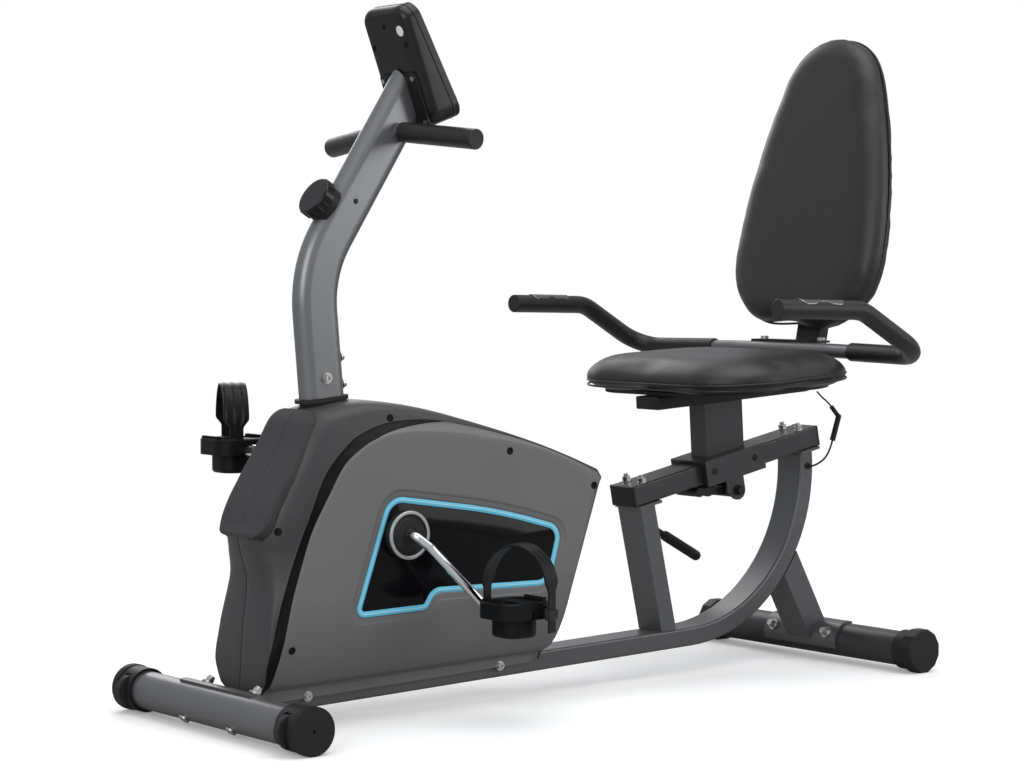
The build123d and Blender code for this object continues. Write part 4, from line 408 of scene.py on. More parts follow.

# %% [markdown]
# The bike's tubes are painted graphite with a little metal in the paint under a thin clear coat. It is one paint,
# given here in lit and shaded copies: the mast's copy is lighter, a painted highlight, and the copies for the main
# tube, leg and strut and for the seat's rail, carriage and rear foot are darker, painted shade. The parts under the
# seat are black.

# %% Painted steel
graphite = finish("graphite paint", (0.15, 0.152, 0.156), 0.37, metallic=0.6, grain=1500, bump=0.05, spread=0.06,
                  coat=0.25, coat_roughness=0.25, tone=0.10)
# A darker copy of the graphite paint for the seat's rail, carriage and rear foot: painted shade.
graphite_deep_shade_copy = finish("graphite paint, deep shaded copy", (0.05, 0.051, 0.053), 0.38, metallic=0.5, grain=1500, bump=0.05,
                       spread=0.06, coat=0.12, coat_roughness=0.25, tone=0.12, specular=0.4)
# A lighter copy of the graphite paint for the mast: painted highlight.
graphite_mast_lit_copy = finish("graphite paint, mast lit copy", (0.19, 0.193, 0.198), 0.34, metallic=0.6, grain=1500, bump=0.05,
                       spread=0.06, coat=0.3, coat_roughness=0.2, tone=0.10)
# A darker copy of the graphite paint for the main tube, leg and strut: painted shade.
graphite_frame_shade_copy = finish("graphite paint, frame shaded copy", (0.105, 0.107, 0.11), 0.38, metallic=0.5, grain=1500, bump=0.05,
                        spread=0.06, coat=0.15, coat_roughness=0.25, tone=0.12)
dark_paint = finish("black frame paint", (0.014, 0.014, 0.0145), 0.42, metallic=0.2, grain=1200, bump=0.06,
                    specular=0.3)
iron = finish("painted cast iron", (0.05, 0.05, 0.052), 0.6, metallic=0.3, grain=700, bump=0.5, tone=0.3)
print("paints", graphite.name, graphite_deep_shade_copy.name, graphite_mast_lit_copy.name, graphite_frame_shade_copy.name, dark_paint.name)

# %% [markdown]
# Moulded plastic has a fine spark texture that breaks up its gloss. The flank is the panel's grey plastic made darker,
# which paints the shade beside the nose and under the crown; the nose panel is a darker grey, the window's inlay is
# glossy, and a lower specular level keeps the blacks deep under white light.

# %% Moulded plastics
shell_grey = finish("graphite moulded plastic", (0.14, 0.14, 0.142), 0.5, grain=2600, bump=0.22, spread=0.08,
                    tone=0.10, specular=0.4)
# The panel's grey plastic made darker: painted shade on the flank.
flank_painted_shade_grey = finish("flank plastic with painted shade", (0.042, 0.0425, 0.044), 0.42, grain=2600, bump=0.22, tone=0.10,
                    specular=0.4)
nose_grey = finish("nose moulded plastic", (0.036, 0.0365, 0.038), 0.55, grain=2600, bump=0.25, spread=0.08,
                   tone=0.10, specular=0.35)
# Black for the band, and also for the dishes that paint the shade inside the screw wells.
black_band_and_well_shade = finish("black band", (0.0055, 0.0055, 0.006), 0.4, grain=1600, bump=0.05, tone=0.2, specular=0.1)
window_black = finish("gloss black inlay", (0.004, 0.004, 0.005), 0.13, grain=300, bump=0.01, spread=0.05,
                      tone=0.4, specular=0.12)
line_blue = finish("light blue line", (0.12, 0.52, 0.72), 0.38, grain=1500, bump=0.05, tone=0.08)
# A paler blue for a painted highlight along the middle of the blue line.
blue_line_painted_highlight = finish("blue line painted highlight", (0.3, 0.68, 0.84), 0.38, grain=1500, bump=0.05, tone=0.08)
black_plastic = finish("black moulded plastic", (0.013, 0.013, 0.0135), 0.44, grain=2200, bump=0.2, tone=0.2,
                       specular=0.25)
pedal_plastic = finish("pedal plastic", (0.0065, 0.0065, 0.007), 0.42, grain=2000, bump=0.25, tone=0.2, specular=0.16)
soft_plastic = finish("soft black plastic", (0.02, 0.02, 0.021), 0.6, grain=2000, bump=0.3, tone=0.2, specular=0.3)
gloss_plastic = finish("gloss black plastic", (0.008, 0.008, 0.009), 0.25, grain=900, bump=0.02, specular=0.3)
console_black = finish("console plastic", (0.0105, 0.0105, 0.011), 0.3, grain=2600, bump=0.12, tone=0.15,
                       specular=0.32)
silver_plastic = finish("silver plastic", (0.36, 0.365, 0.37), 0.34, metallic=0.5, grain=1800, bump=0.06)
sticker_white = finish("white sticker", (0.78, 0.78, 0.77), 0.5, grain=900, bump=0.03, tone=0.04)
print("housing tones", [round(m.diffuse_color[0], 4) for m in (shell_grey, flank_painted_shade_grey, nose_grey, black_band_and_well_shade)])

# %% [markdown]
# What the rider touches is soft. Foam shows small cells, vinyl a leather grain with slow creases, and
# rubber is dull. Each relief is a second bump over the fine grain.

# %% Foam, rubber and vinyl
foam = finish("black foam", (0.0105, 0.0105, 0.011), 0.36, grain=1500, bump=0.3, spread=0.06, relief=cells(1300.0),
              relief_bump=0.2, specular=0.4)
rubber = finish("black rubber", (0.015, 0.015, 0.015), 0.6, grain=1300, bump=0.25, tone=0.2, specular=0.3)
strap_rubber = finish("strap rubber", (0.006, 0.006, 0.0065), 0.36, grain=1400, bump=0.15, tone=0.2, specular=0.18)
vinyl = finish("black vinyl", (0.0135, 0.0135, 0.014), 0.43, grain=1800, bump=0.12, spread=0.08, relief=leather_relief,
               relief_bump=0.28, tone=0.25)
piping_vinyl = finish("vinyl piping", (0.011, 0.011, 0.011), 0.4, grain=1500, bump=0.2)
backing = finish("black backing cloth", (0.02, 0.02, 0.021), 0.8, grain=700, bump=0.4, spread=0.08, tone=0.3)
print("soft finishes", foam.name, rubber.name, strap_rubber.name, vinyl.name, piping_vinyl.name, backing.name)

# %% [markdown]
# Bare metal is bright because it reflects the room: chrome sharply, zinc and brushed steel softly. The
# display and its lens come last; the lens is clear, with a trace of roughness from the same grain.

# %% Bare metal, display and lens
ring_silver = finish("satin silver ring", (0.46, 0.46, 0.455), 0.38, metallic=0.75, grain=1400, bump=0.05)
chrome = finish("chrome plate", (0.78, 0.78, 0.79), 0.07, metallic=1.0, grain=500, bump=0.01, spread=0.05, tone=0.05)
zinc = finish("zinc plated steel", (0.55, 0.55, 0.54), 0.24, metallic=1.0, grain=900, bump=0.05, tone=0.15)
steel = finish("turned steel", (0.42, 0.42, 0.42), 0.3, metallic=1.0, relief=brushed, relief_bump=0.15)
pulse_steel = finish("pulse sensor steel", (0.2, 0.2, 0.205), 0.2, metallic=1.0, relief=brushed, relief_bump=0.08)
lcd = finish("display", (0.17, 0.2, 0.17), 0.25, grain=1500, bump=0.01, tone=0.05)

clear = bpy.data.materials.new("clear lens")
clear.use_nodes = True
clear_shader = clear.node_tree.nodes["Principled BSDF"]
clear_shader.inputs["Transmission Weight"].default_value = 1.0
clear_shader.inputs["Metallic"].default_value = 0.0
clear_shader.inputs["Base Color"].default_value = (0.86, 0.9, 0.88, 1)
clear_grain = clear.node_tree.nodes.new("ShaderNodeGroup")
clear_grain.node_tree = grain_group
clear_grain.inputs["Roughness"].default_value = 0.03
clear_grain.inputs["Spread"].default_value = 0.02
clear.node_tree.links.new(clear_grain.outputs["Roughness"], clear_shader.inputs["Roughness"])
print("finishes", len(bpy.data.materials))

# %% [markdown]
# ## Finishes of the solid parts
# Tubes, bolts, arms and wheels already have their true shape, so they only get a finish. The bike's
# tubes are graphite with a little metal in the paint, the screws are zinc, the cranks are chrome.

# %% Give each solid part its finish
worn_by = {
    graphite: ["front_stabiliser", "front_handlebar", "seat_handlebar"],
    # The mast's, the frame's and the seat rail's paints are lit and shaded copies of the graphite paint: painted light
    # and shade.
    graphite_mast_lit_copy: ["mast_tube"],
    graphite_frame_shade_copy: ["main_frame_tube", "rail_leg", "rear_strut"],
    graphite_deep_shade_copy: ["seat_rail", "rear_stabiliser", "seat_carriage"],
    dark_paint: ["inner_frame", "console_bracket", "handle_clamp", "seat_frame", "lock_lever"],
    black_plastic: ["rail_end_caps", "front_end_caps", "left_levelling_cap", "right_levelling_cap", "tension_base",
                    "drive_pulley", "slide_pads", "pulse_plug"],
    pedal_plastic: ["left_pedal", "right_pedal"],
    soft_plastic: ["left_transport_wheel", "right_transport_wheel"],
    zinc: ["frame_bolts", "frame_screws", "handle_bolts"],
    chrome: ["left_crank_arm", "right_crank_arm"],
    steel: ["crank_axle", "crank_bearings", "flywheel_axle", "magnet_arm"],
    iron: ["flywheel"],
    rubber: ["mast_gasket", "drive_belt", "left_pedal_strap", "right_pedal_strap", "cable_grommet", "pulse_lead",
             "pulse_wire"],
    foam: ["front_grips", "seat_grips"],
    silver_plastic: ["left_button", "right_button"],
    gloss_plastic: ["disc_covers", "tension_knob"],
    console_black: ["console_rear_shell", "console_front_shell", "battery_door"],
    clear: ["display_lens"],
    backing: ["pad_boards"],
    vinyl: ["seat_cushion", "backrest_pad"],
    shell_grey: ["left_shell", "right_shell"],
    window_black: ["window_panels"],
}
for material, names in worn_by.items():
    for name in names:
        mesh = nodes[name].data
        mesh.materials.clear()
        mesh.materials.append(material)
print("dressed", sum(map(len, worn_by.values())), "of", len(nodes))

# %% [markdown]
# ## The drive housing
# The housing is two moulded halves. Each half has a rounded crown and flank, a black band that passes
# into a grey slope, and a flat side panel with a window, and a raised nose panel sits in front. It could
# be sculpted by hand from one block. Here the fields are worked out from the same three outlines as the
# solid halves, so both stay the same size: the crown's, the shoulder's and the panel's, all as (x, z)
# points from the bottom of the front, over the top, to the rear. They are separate thin skins with
# small steps between them, which is how such mouldings look.

# %% The housing's outlines
crown_path = [(37, 26), (37, 60), (39, 92), (42, 136), (47.5, 186), (51, 216), (49.5, 242), (42.5, 264), (38, 280),
              (36.5, 295), (52, 327), (72.5, 365), (99, 408), (113.5, 434), (131, 466), (152, 486)]
crown_top = [(152, 486), (212, 497), (276, 494), (338, 484), (416, 464), (518, 434), (620, 399), (694, 371)]
shoulder_path = [(47, 31), (42, 68), (39, 100), (47.5, 136), (58.5, 177), (74, 225), (98, 287), (120, 335), (145, 388),
                 (198, 442)]
shoulder_top = [(198, 442), (236, 458), (291, 467), (351, 465), (427, 452), (530, 426), (624, 394), (695, 363)]
panel_path = [(54, 40), (58, 96), (63, 136), (73, 194), (92, 254), (109, 300), (122, 325), (147, 366), (169, 400),
              (216, 434)]
panel_top = [(216, 434), (244, 444), (288, 449), (348, 446), (424, 437), (527, 418), (609, 390), (671, 356)]
shoulder_y, panel_y = 75.0, 95.0
front_steps, top_steps, rear_steps = 76, 60, 24


def field_edge(front, top, rear_low):
    """Front curve, top curve, rounded rear corner and rear line as one row of points of fixed count."""
    front = smooth_through(front, front_steps)
    top = smooth_through(top, top_steps)
    rear = np.linspace(top[-1] + (np.array(rear_low) - top[-1]) * 0.05, rear_low, rear_steps)
    corner = top[-1] + (rear[0] - top[-1]) * 0.4 + np.array([1.5, -1.0])
    return np.concatenate([front, top[1:-1], [corner], rear])


crown_edge = field_edge(crown_path, crown_top, (592, 60))
shoulder_edge = field_edge(shoulder_path, shoulder_top, (590, 60))
panel_edge = field_edge(panel_path, panel_top, (577, 57))
print("points along an edge", len(panel_edge))

# %% [markdown]
# The halves turn in at the bottom, where they close round the main tube. That is one formula: at each
# point, the half width may be no more than a limit that grows with height, and a smooth minimum of the
# two rounds the turn.

# %% The turn-in at the bottom
tube_slope = 0.0262
skirt_half, skirt_step, skirt_top = 36.0, 13.0, 56.0
hollow_half, hollow_foot, hollow_rise = 51.0, 62.0, 112.0


def half_limit(x, z):
    """Half width allowed at a height over the tube: the skirt, its step, then a hollow curve as height ^ 0.62."""
    height = z - tube_slope * x
    lip = skirt_half + skirt_step * np.clip((height - skirt_top) / 7.0, 0, 1)
    out = hollow_half * np.clip((height - hollow_foot) / hollow_rise, 0, 1.2) ** 0.62
    return lip + out


def turned_in(x, y, z, soft=7.0):
    """Smooth minimum of |y| and the limit: -soft x log(exp(-|y| / soft) + exp(-limit / soft))."""
    side = np.sign(y)
    wide, limit = np.abs(y), half_limit(x, z)
    low = np.minimum(wide, limit)
    rest = np.exp(-np.abs(wide - limit) / soft)
    narrow = low - soft * np.log1p(rest)
    blend = np.clip((wide - 20.0) / 16.0, 0, 1)
    return side * (wide * (1 - blend) + np.minimum(narrow + soft * 0.2, wide) * blend)


print("half width allowed at x 300, z 100:", round(float(half_limit(300.0, 100.0)), 1), "mm")

# %% [markdown]
# A skin is drawn once, for the left half, and its mirror image is the right half. Whether its faces
# look outwards is measured: the cross product of a face's diagonals points out of the side it shows, so
# the sum over all faces tells if they have to be turned round. Only then does it get its wall.


# %% Skins of the two halves
skin_wall = 2.2 / 1000


def skin(name, rows, material, round_trip=False, sunk=0.0):
    """A left and a right skin over a grid of drawing points, sunk a little and thickened inwards."""
    x, y, z = rows[..., 0], rows[..., 1], rows[..., 2]
    points = at(x, turned_in(x, y, z) - np.sign(y) * sunk, z)
    made = []
    for side, tag in ((1, "left"), (-1, "right")):
        placed = points * (1, side, 1)
        faces = grid_faces(*placed.shape[:2], close_columns=round_trip)
        corners = placed.reshape(-1, 3)[faces]
        facing = np.cross(corners[:, 2] - corners[:, 0], corners[:, 3] - corners[:, 1])[:, 1].sum()
        if facing * side > 0:
            faces = faces[:, ::-1]
        piece = make_piece(tag + "_" + name, placed, faces, "frame", material)
        wall = piece.modifiers.new("wall", "SOLIDIFY")
        wall.thickness = skin_wall
        wall.offset = -1
        made.append(piece)
    print(name, "grid", placed.shape[:2])
    return made


def row(edge, y, push=0.0):
    """One grid row: an edge line at a width, moved inwards along its normal by a small step."""
    line = edge
    if push:
        run = np.gradient(edge, axis=0)
        run /= np.linalg.norm(run, axis=1)[:, None]
        line = edge + np.stack([run[:, 1], -run[:, 0]], axis=1) * push
    return np.column_stack([line[:, 0], np.full(len(line), y), line[:, 1]])


# %% [markdown]
# Across the bike, the crown and the flank are one rounded corner between the middle seam and the
# shoulder. It is a superellipse: the width grows as sine to the power 0.6 and the line moves from the
# crown to the shoulder as 1 - cosine to the same power, so the middle stays flat and the corner is full.
# How wide the flat part is changes up the front, which gives the waist under the nose panel.

# %% Crown and flank
turn = np.linspace(0.0, math.pi / 2, 30)
wide = np.sin(turn) ** 0.6
fall = 1.0 - np.cos(turn) ** 0.6
flat_half = np.interp(crown_edge[:front_steps, 1], [60, 165, 215, 245, 285, 305, 340, 440, 486],
                      [73, 73, 62, 53, 48, 58, 70, 68, 64])
flat_half = np.concatenate([flat_half, np.interp(np.arange(len(crown_edge) - front_steps), [0, 10], [64, 73])])
flank_rows = [row(crown_edge, -0.5, 1.8), row(crown_edge, -0.8, 0.4)]
seam_half = 1.6
for w, f in zip(wide, fall):
    line = row(crown_edge * (1 - f) + shoulder_edge * f, 0)
    line[:, 1] = -seam_half - (flat_half - seam_half) * w - (shoulder_y - flat_half) * f
    flank_rows.append(line)
flank_rows += [row(shoulder_edge, -shoulder_y - 0.6, 0.7), row(shoulder_edge, -shoulder_y - 0.3, 3.0)]
# The flank wears the darker grey, which paints its shade.
flank = skin("flank_field", np.array(flank_rows), flank_painted_shade_grey)

# %% [markdown]
# Between the shoulder and the panel's edge runs a slope. Its outer part is a black band, full width
# up the front and drawn out to nothing along the top; the rest is grey. One share says where black ends.

# %% The black band and the slope beside it
count = len(panel_edge)
black_share = 1.0 - np.clip((np.arange(count) - (front_steps - 4)) / 24.0, 0, 1) ** 1.3
band_end, slope_start = front_steps + 19, front_steps - 3


def slope_rows(first, last, steps, push=1.2):
    """Rows at even shares from first to last of the way down the slope, each share one number per point."""
    made = []
    for s in np.linspace(0, 1, steps):
        share = (first * (1 - s) + last * s)[:, None]
        line = row(shoulder_edge * (1 - share) + panel_edge * share, 0, push)
        line[:, 1] = -shoulder_y - (panel_y - shoulder_y) * share[:, 0]
        made.append(line)
    return np.array(made)


none, full = np.zeros(count), np.ones(count)
skin("black_band", slope_rows(none, black_share, 7)[:, :band_end], black_band_and_well_shade, sunk=0.9)
skin("grey_slope", slope_rows(black_share, full, 5)[:, slope_start:], shell_grey)

# %% [markdown]
# The side panel is a flat field with a window in it. Its grid runs round the window: each ray from the
# crank's axle crosses the window's outline and the panel's outline once, so the rows between them are
# straight shares of that ray. The window's rim dips inwards before the coloured line starts.

# %% The window's outline and rays from the axle
window = rounded_outline([(185, 165, 15), (325, 168, 14), (341, 193, 20), (572, 188, 34), (599, 284, 28),
                          (464, 321, 1200), (252, 353, 36)], 16)
hub = np.array([300.0, 250.0])


def by_angle(outline, angles):
    """Points where rays from the hub at given angles cross a closed outline."""
    outline = resample(outline, 2400)
    away = outline - hub
    turn = np.arctan2(away[:, 1], away[:, 0])
    order = np.argsort(turn)
    reach = np.hypot(away[:, 0], away[:, 1])[order]
    reach = np.interp(angles, turn[order], reach, period=2 * math.pi)
    return hub + np.stack([np.cos(angles), np.sin(angles)], axis=1) * reach[:, None]


rim = resample(window, 420)
angles = np.arctan2(*(rim - hub).T[::-1])
panel_outline = np.concatenate([panel_edge, panel_edge[:1]])
edge_ring = by_angle(panel_outline, angles)
print("window", np.ptp(rim, axis=0).round(), "mm in a panel of", np.ptp(edge_ring, axis=0).round(), "mm")

# %% [markdown]
# From outside in, the panel's rows are: a turned-down edge, even rows to a ledge 12 mm outside the
# window, a soft step down, a flat rim, and a last drop into the groove for the coloured line.

# %% The side panel with its window
panel_rows = []
for share, y in ((1.004, panel_y - 3.0), (1.0, panel_y - 1.4), (0.995, panel_y - 0.4), (0.985, panel_y)):
    panel_rows.append((hub + (edge_ring - hub) * share, y))
ledge = drawn_in(rim, -12.0)
inner_ring = hub + (edge_ring - hub) * 0.985
for share in np.linspace(0.96, 0.03, 40):
    panel_rows.append((ledge + (inner_ring - ledge) * share, panel_y))
for inward, drop in ((-11.0, 0.0), (-10.0, 0.5), (-9.0, 1.5), (-8.0, 1.8), (-2.0, 1.8), (-0.8, 2.2), (0.2, 3.2),
                     (1.0, 4.0)):
    panel_rows.append((drawn_in(rim, inward), panel_y - drop))
panel_grid = np.array([np.column_stack([p[:, 0], np.full(len(p), -y), p[:, 1]]) for p, y in panel_rows])
panel = skin("side_panel", panel_grid, shell_grey, round_trip=True)


# %% [markdown]
# The coloured line is a moulded strip in that groove: its face is crowned as half a sine wave. A paler strip along its
# middle is a painted highlight on that crown. The line could be painted on with a mask, but a strip of its own has an
# edge that catches the light.


# %% The coloured line
strip_depth = 1.4


def strip(name, outline, first_in, last_in, y, material, crown):
    """A closed flat ring between two inward steps of an outline, its face crowned by crown x sin(pi x share)."""
    steps = np.linspace(0, 1, 7)
    rows = [np.column_stack([drawn_in(outline, first_in + (last_in - first_in) * s),
                             np.full(len(outline), y + crown * math.sin(math.pi * s))]) for s in steps]
    rows += [np.column_stack([drawn_in(outline, inward), np.full(len(outline), y - strip_depth)])
             for inward in (last_in, first_in)]
    rows = np.array(rows)
    for side, tag in ((-1, "left"), (1, "right")):
        points = at(rows[..., 0], side * rows[..., 2], rows[..., 1])
        faces = grid_faces(points.shape[0], points.shape[1], close_rows=True, close_columns=True)
        outward(make_piece(tag + "_" + name, points, faces, "frame", material))
    print(name, "width mm", round(last_in - first_in, 1))


strip("blue_line", rim, 0.8, 9.8, panel_y - 3.3, line_blue, crown=0.8)
# The paler strip is a painted highlight.
strip("blue_line_highlight", rim, 4.2, 6.4, panel_y - 2.6, blue_line_painted_highlight, crown=0.3)

# %% [markdown]
# The black inlay inside the line is a shallow dish of gloss plastic, a few rings that shrink towards the
# axle. The new skins then stand for the plain solids of the housing, which aren't shown any more.

# %% The gloss inlay, and what stands for which solid
inlay_edge = drawn_in(rim, 10.0)
inlay_shares = np.array([1.0, 1.0, 0.99, 0.6, 0.25])[:, None, None]
inlay_depth = panel_y - np.array([6.4, 4.4, 3.9, 3.7, 3.6])[:, None]
inlay_rings = hub + (inlay_edge[None] - hub) * inlay_shares
for side, tag in ((-1, "left"), (1, "right")):
    rings = at(inlay_rings[..., 0], side * inlay_depth, inlay_rings[..., 1])
    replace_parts(closed_stack(tag + "_window_inlay", rings, "frame", window_black), "window_panels")

for piece in flank + panel:
    node = "left_shell" if piece.name.startswith("left") else "right_shell"
    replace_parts(piece, node)
print("skins that stand for the shells", [piece.name for piece in flank + panel])

# %% [markdown]
# ## The raised nose panel
# A flat moulded panel stands proud in front. Its side view is a curve with a lip at its foot, and
# across the bike it is flat with rounded edges, so it is one profile carried across, squeezed at its
# two sides. A box with bevels could do it too, but then the curve of the lip would be a guess. A fine
# double seam runs down its middle where the halves meet.

# %% Nose panel
nose_line = smooth_through([(142, 485), (128, 469), (111, 436), (97, 411), (71, 368), (63, 355), (50, 329),
                            (37, 303), (34.5, 298), (36, 294.5), (41, 293)], 90)
edge_share = np.array([1.0, 1.0, 0.994, 0.975, 0.94])
edge_sink = np.array([5.0, 2.6, 1.3, 0.4, 0.1])
half_across = np.concatenate([edge_share, np.linspace(0.88, 0.06, 12), [0.026, 0.018, 0.012]])
half_sink = np.concatenate([edge_sink, np.zeros(12), [0.0, 0.8, 0.0]])
across = np.concatenate([-half_across, half_across[::-1]])
sink = np.concatenate([half_sink, half_sink[::-1]])
run = np.gradient(nose_line, axis=0)
length = np.linalg.norm(run, axis=1)
inwards = np.stack([-run[:, 1], run[:, 0]], axis=1) / length[:, None]
walked = np.concatenate([[0], np.cumsum(np.linalg.norm(np.diff(nose_line, axis=0), axis=1))])


def corner_loss(distance, radius):
    """How much a rounded corner takes off the half width: R - sqrt(R^2 - (R - d)^2) within R of an end."""
    inside = np.clip(radius - distance, 0, radius)
    return radius - np.sqrt(radius ** 2 - inside ** 2)


wide_half, taper = 65.0, 11.0
half_width = wide_half - taper * np.clip((nose_line[:, 1] - 390) / 90.0, 0, 1)
half_width -= corner_loss(walked, 20.0) + corner_loss(walked[-1] - walked, 40.0)
points = nose_line[:, None, :] + inwards[:, None, :] * sink[None, :, None]
front_face = at(points[..., 0], across[None, :] * half_width[:, None], points[..., 1])
back_line = nose_line + np.array([13.0, -8.0])
back_face = at(back_line[:, None, 0], (across * 0.97)[None, :] * half_width[:, None], back_line[:, None, 1])
rings = np.concatenate([front_face, back_face[:, ::-1]], axis=1)
closed_stack("nose_panel", rings, "frame", nose_grey)
print("nose panel", round(walked[-1]), "mm long, up to", round(2 * half_width.max()), "mm wide")

# %% [markdown]
# ## Screw wells
# The halves are joined by screws at the bottom of small round wells. They could be cut out of the skins; here each
# well is a black dish with a fine rim, which paints the shade inside the well and leaves the skins whole. Each is
# given by its place in the side view, the skin's half width there and the way the skin faces.

# %% Screw wells on both sides
wells = [((144.7, 450.9), 59.9, (-0.48, -0.81, 0.34)), ((267.0, 469.9), 74.4, (-0.03, -0.99, 0.1)),
         ((486.8, 410.1), 95.0, (0, -1, 0)), ((67.1, 304.8), 63.9, (-0.47, -0.88, 0.1)),
         ((78.0, 125.9), 84.3, (0, -0.96, -0.28)), ((661.5, 346.0), 95.0, (0, -1, 0))]
# The dish is black, which paints the shade inside each well.
dish = [(0.0062, -0.002), (0.0062, 0.0003), (0.0056, 0.0006), (0.005, 0.0002), (0.003, 0.0001)]
for index, ((x, z), y, facing) in enumerate(wells):
    for side, tag in ((-1, "left"), (1, "right")):
        direction = (facing[0], facing[1] * -side, facing[2])
        lathe(tag + "_screw_well_" + str(index), at(x, side * y, z), direction, dish, "frame", black_band_and_well_shade, 32)
print("screw wells on each side", len(wells))

# %% [markdown]
# ## Hub covers
# Where the axle leaves the housing there is a round cover with a satin ring let into its edge. Both are
# turned parts, and so is the nub that closes the axle's end outside the crank.

# %% Hub covers
crank_x, crank_z = 281.5, 289.5
cover_face = [(0.0378, -0.002), (0.038, 0.009), (0.0372, 0.0112), (0.0318, 0.0118), (0.0306, 0.0104),
              (0.0285, 0.0104), (0.026, 0.0125), (0.016, 0.0129), (0.0135, 0.0129)]
ring_face = np.array([(0.0324, 0.0095), (0.0325, 0.0122), (0.0336, 0.013), (0.0366, 0.013), (0.0378, 0.0121),
                      (0.0379, 0.0095)])
nub = [(0.0105, -0.002), (0.0105, 0.0015), (0.0088, 0.0032), (0.0084, 0.0066), (0.0078, 0.0074)]
ring_steps = 96
angle = np.linspace(0, 2 * math.pi, ring_steps, endpoint=False)
ring_radius, ring_height = ring_face[:, :1], ring_face[:, 1:]
for side, tag in ((-1, "left"), (1, "right")):
    centre = at(crank_x, side * panel_y, crank_z)
    cover = lathe(tag + "_hub_cover", centre, (0, side, 0), cover_face, "frame", black_plastic, ring_steps)
    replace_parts(cover, "disc_covers")
    loop = centre + np.stack([ring_radius * np.cos(angle), side * ring_height + 0 * angle,
                              ring_radius * np.sin(angle)], axis=-1)
    faces = grid_faces(len(ring_face), ring_steps, True, True)
    outward(make_piece(tag + "_silver_ring", loop, faces, "frame", ring_silver))
    lathe(tag + "_axle_nub", at(crank_x, side * 108.0, crank_z), (0, side, 0), nub, "crank", black_plastic, 48)
print("hub covers", 2 * round(cover_face[1][0] * 1000), "mm across")

# %% [markdown]
# ## Padded seat and backrest
# A cushion is foam under a tight cover: crowned, with its edge pulled in at the seams. The plain solids
# give the right outline, so each is remeshed and blown up a little by the cloth solver. Every point's
# movement is limited, so the pad keeps its size, and the solver is then applied. Seams come after it,
# because the remesh would swallow them.


# %% Reading and writing a mesh's points
def points_of(mesh):
    """All vertex places of a mesh as one (count, 3) array."""
    points = np.empty(len(mesh.vertices) * 3)
    mesh.vertices.foreach_get("co", points)
    return points.reshape(-1, 3)


def put_points(mesh, points):
    """Write a (count, 3) array back as the mesh's vertex places."""
    mesh.vertices.foreach_set("co", points.ravel())
    mesh.update()


def with_modifiers(piece):
    """A new mesh with the piece's modifiers applied, and none left on the piece."""
    mesh = bpy.data.meshes.new_from_object(piece.evaluated_get(bpy.context.evaluated_depsgraph_get()))
    piece.modifiers.clear()
    return mesh


print("the plain cushion has", len(points_of(nodes["seat_cushion"].data)), "points")

# %% [markdown]
# The cloth solver could also drop a cover over the foam, but blowing up the pad itself is quicker and
# keeps it closed. The pad is first drawn in a little, so that it grows back to its own size, and at the
# end it is fitted to the plain solid's box.

# %% The inflating helper
pad_voxel, air_pressure, cloth_frames = 0.006, 4.0, 20


def blown_points(pad):
    """Where the cloth solver pushes a pad's points from inside, without gravity."""
    cloth = pad.modifiers.new("blow", "CLOTH")
    cloth.settings.use_pressure = True
    cloth.settings.uniform_pressure_force = air_pressure
    cloth.settings.effector_weights.gravity = 0
    cloth.settings.quality = 6
    cloth.point_cache.frame_start, cloth.point_cache.frame_end = 1, cloth_frames
    for step in range(1, cloth_frames + 1):
        bpy.context.scene.frame_set(step)
    blown = points_of(pad.evaluated_get(bpy.context.evaluated_depsgraph_get()).to_mesh())
    pad.modifiers.clear()
    bpy.context.scene.frame_set(1)
    return blown


def inflated(name, node, start_in, limit):
    """Blow up a plain pad drawn in by start_in, move no point past limit, and fit it to the node's box."""
    pad = bpy.data.objects.new(name, nodes[node].data.copy())
    bpy.context.scene.collection.objects.link(pad)
    outward(pad)
    points = points_of(pad.data)
    middle = (points.min(axis=0) + points.max(axis=0)) / 2
    half = (points.max(axis=0) - points.min(axis=0)) / 2
    put_points(pad.data, middle + (points - middle) * (1 - start_in / half))
    remesh = pad.modifiers.new("even", "REMESH")
    remesh.mode = "VOXEL"
    remesh.voxel_size = pad_voxel
    pad.data = with_modifiers(pad)
    rest = points_of(pad.data)
    move = blown_points(pad) - rest
    far = np.linalg.norm(move, axis=1)
    move *= np.minimum(1, limit / np.maximum(far, 1e-9))[:, None]
    put_points(pad.data, rest + move)
    relax = pad.modifiers.new("relax", "SMOOTH")
    relax.factor, relax.iterations = 0.6, 24
    fine = pad.modifiers.new("fine", "SUBSURF")
    fine.levels = fine.render_levels = 1
    pad.data = with_modifiers(pad)
    points = points_of(pad.data)
    low, high = points.min(axis=0), points.max(axis=0)
    want_low, want_high = (np.array(corner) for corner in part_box(node))
    put_points(pad.data, want_low + (points - low) / (high - low) * (want_high - want_low))
    pad.data.materials.clear()
    pad.data.materials.append(vinyl)
    pad.data.polygons.foreach_set("use_smooth", np.ones(len(pad.data.polygons), bool))
    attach(pad, "seat")
    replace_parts(pad, node)
    print(name, "points", len(rest), "largest move mm", round(float(np.linalg.norm(move, axis=1).max()) * 1000, 1))
    return pad


# %% [markdown]
# Both pads go through the same helper. Each is filled with foam almost to the skin.

# %% Blow up the seat and the backrest
cushion = inflated("seat_cushion_cover", "seat_cushion", 0.006, 0.009)
backrest = inflated("backrest_cover", "backrest_pad", 0.006, 0.010)

# %% [markdown]
# Round the foot of the cushion run two welts, and one runs round the backrest's side. They could be
# curves with a round bevel; as beads of quads they need no conversion later. They follow the pads' own
# outlines, in the pads' own tilted axes.

# %% Welts round the seat
seat_mid_x, seat_under_z = 1017, 496.5
seat_tilt, back_lean = math.radians(3.5), math.radians(12.0)


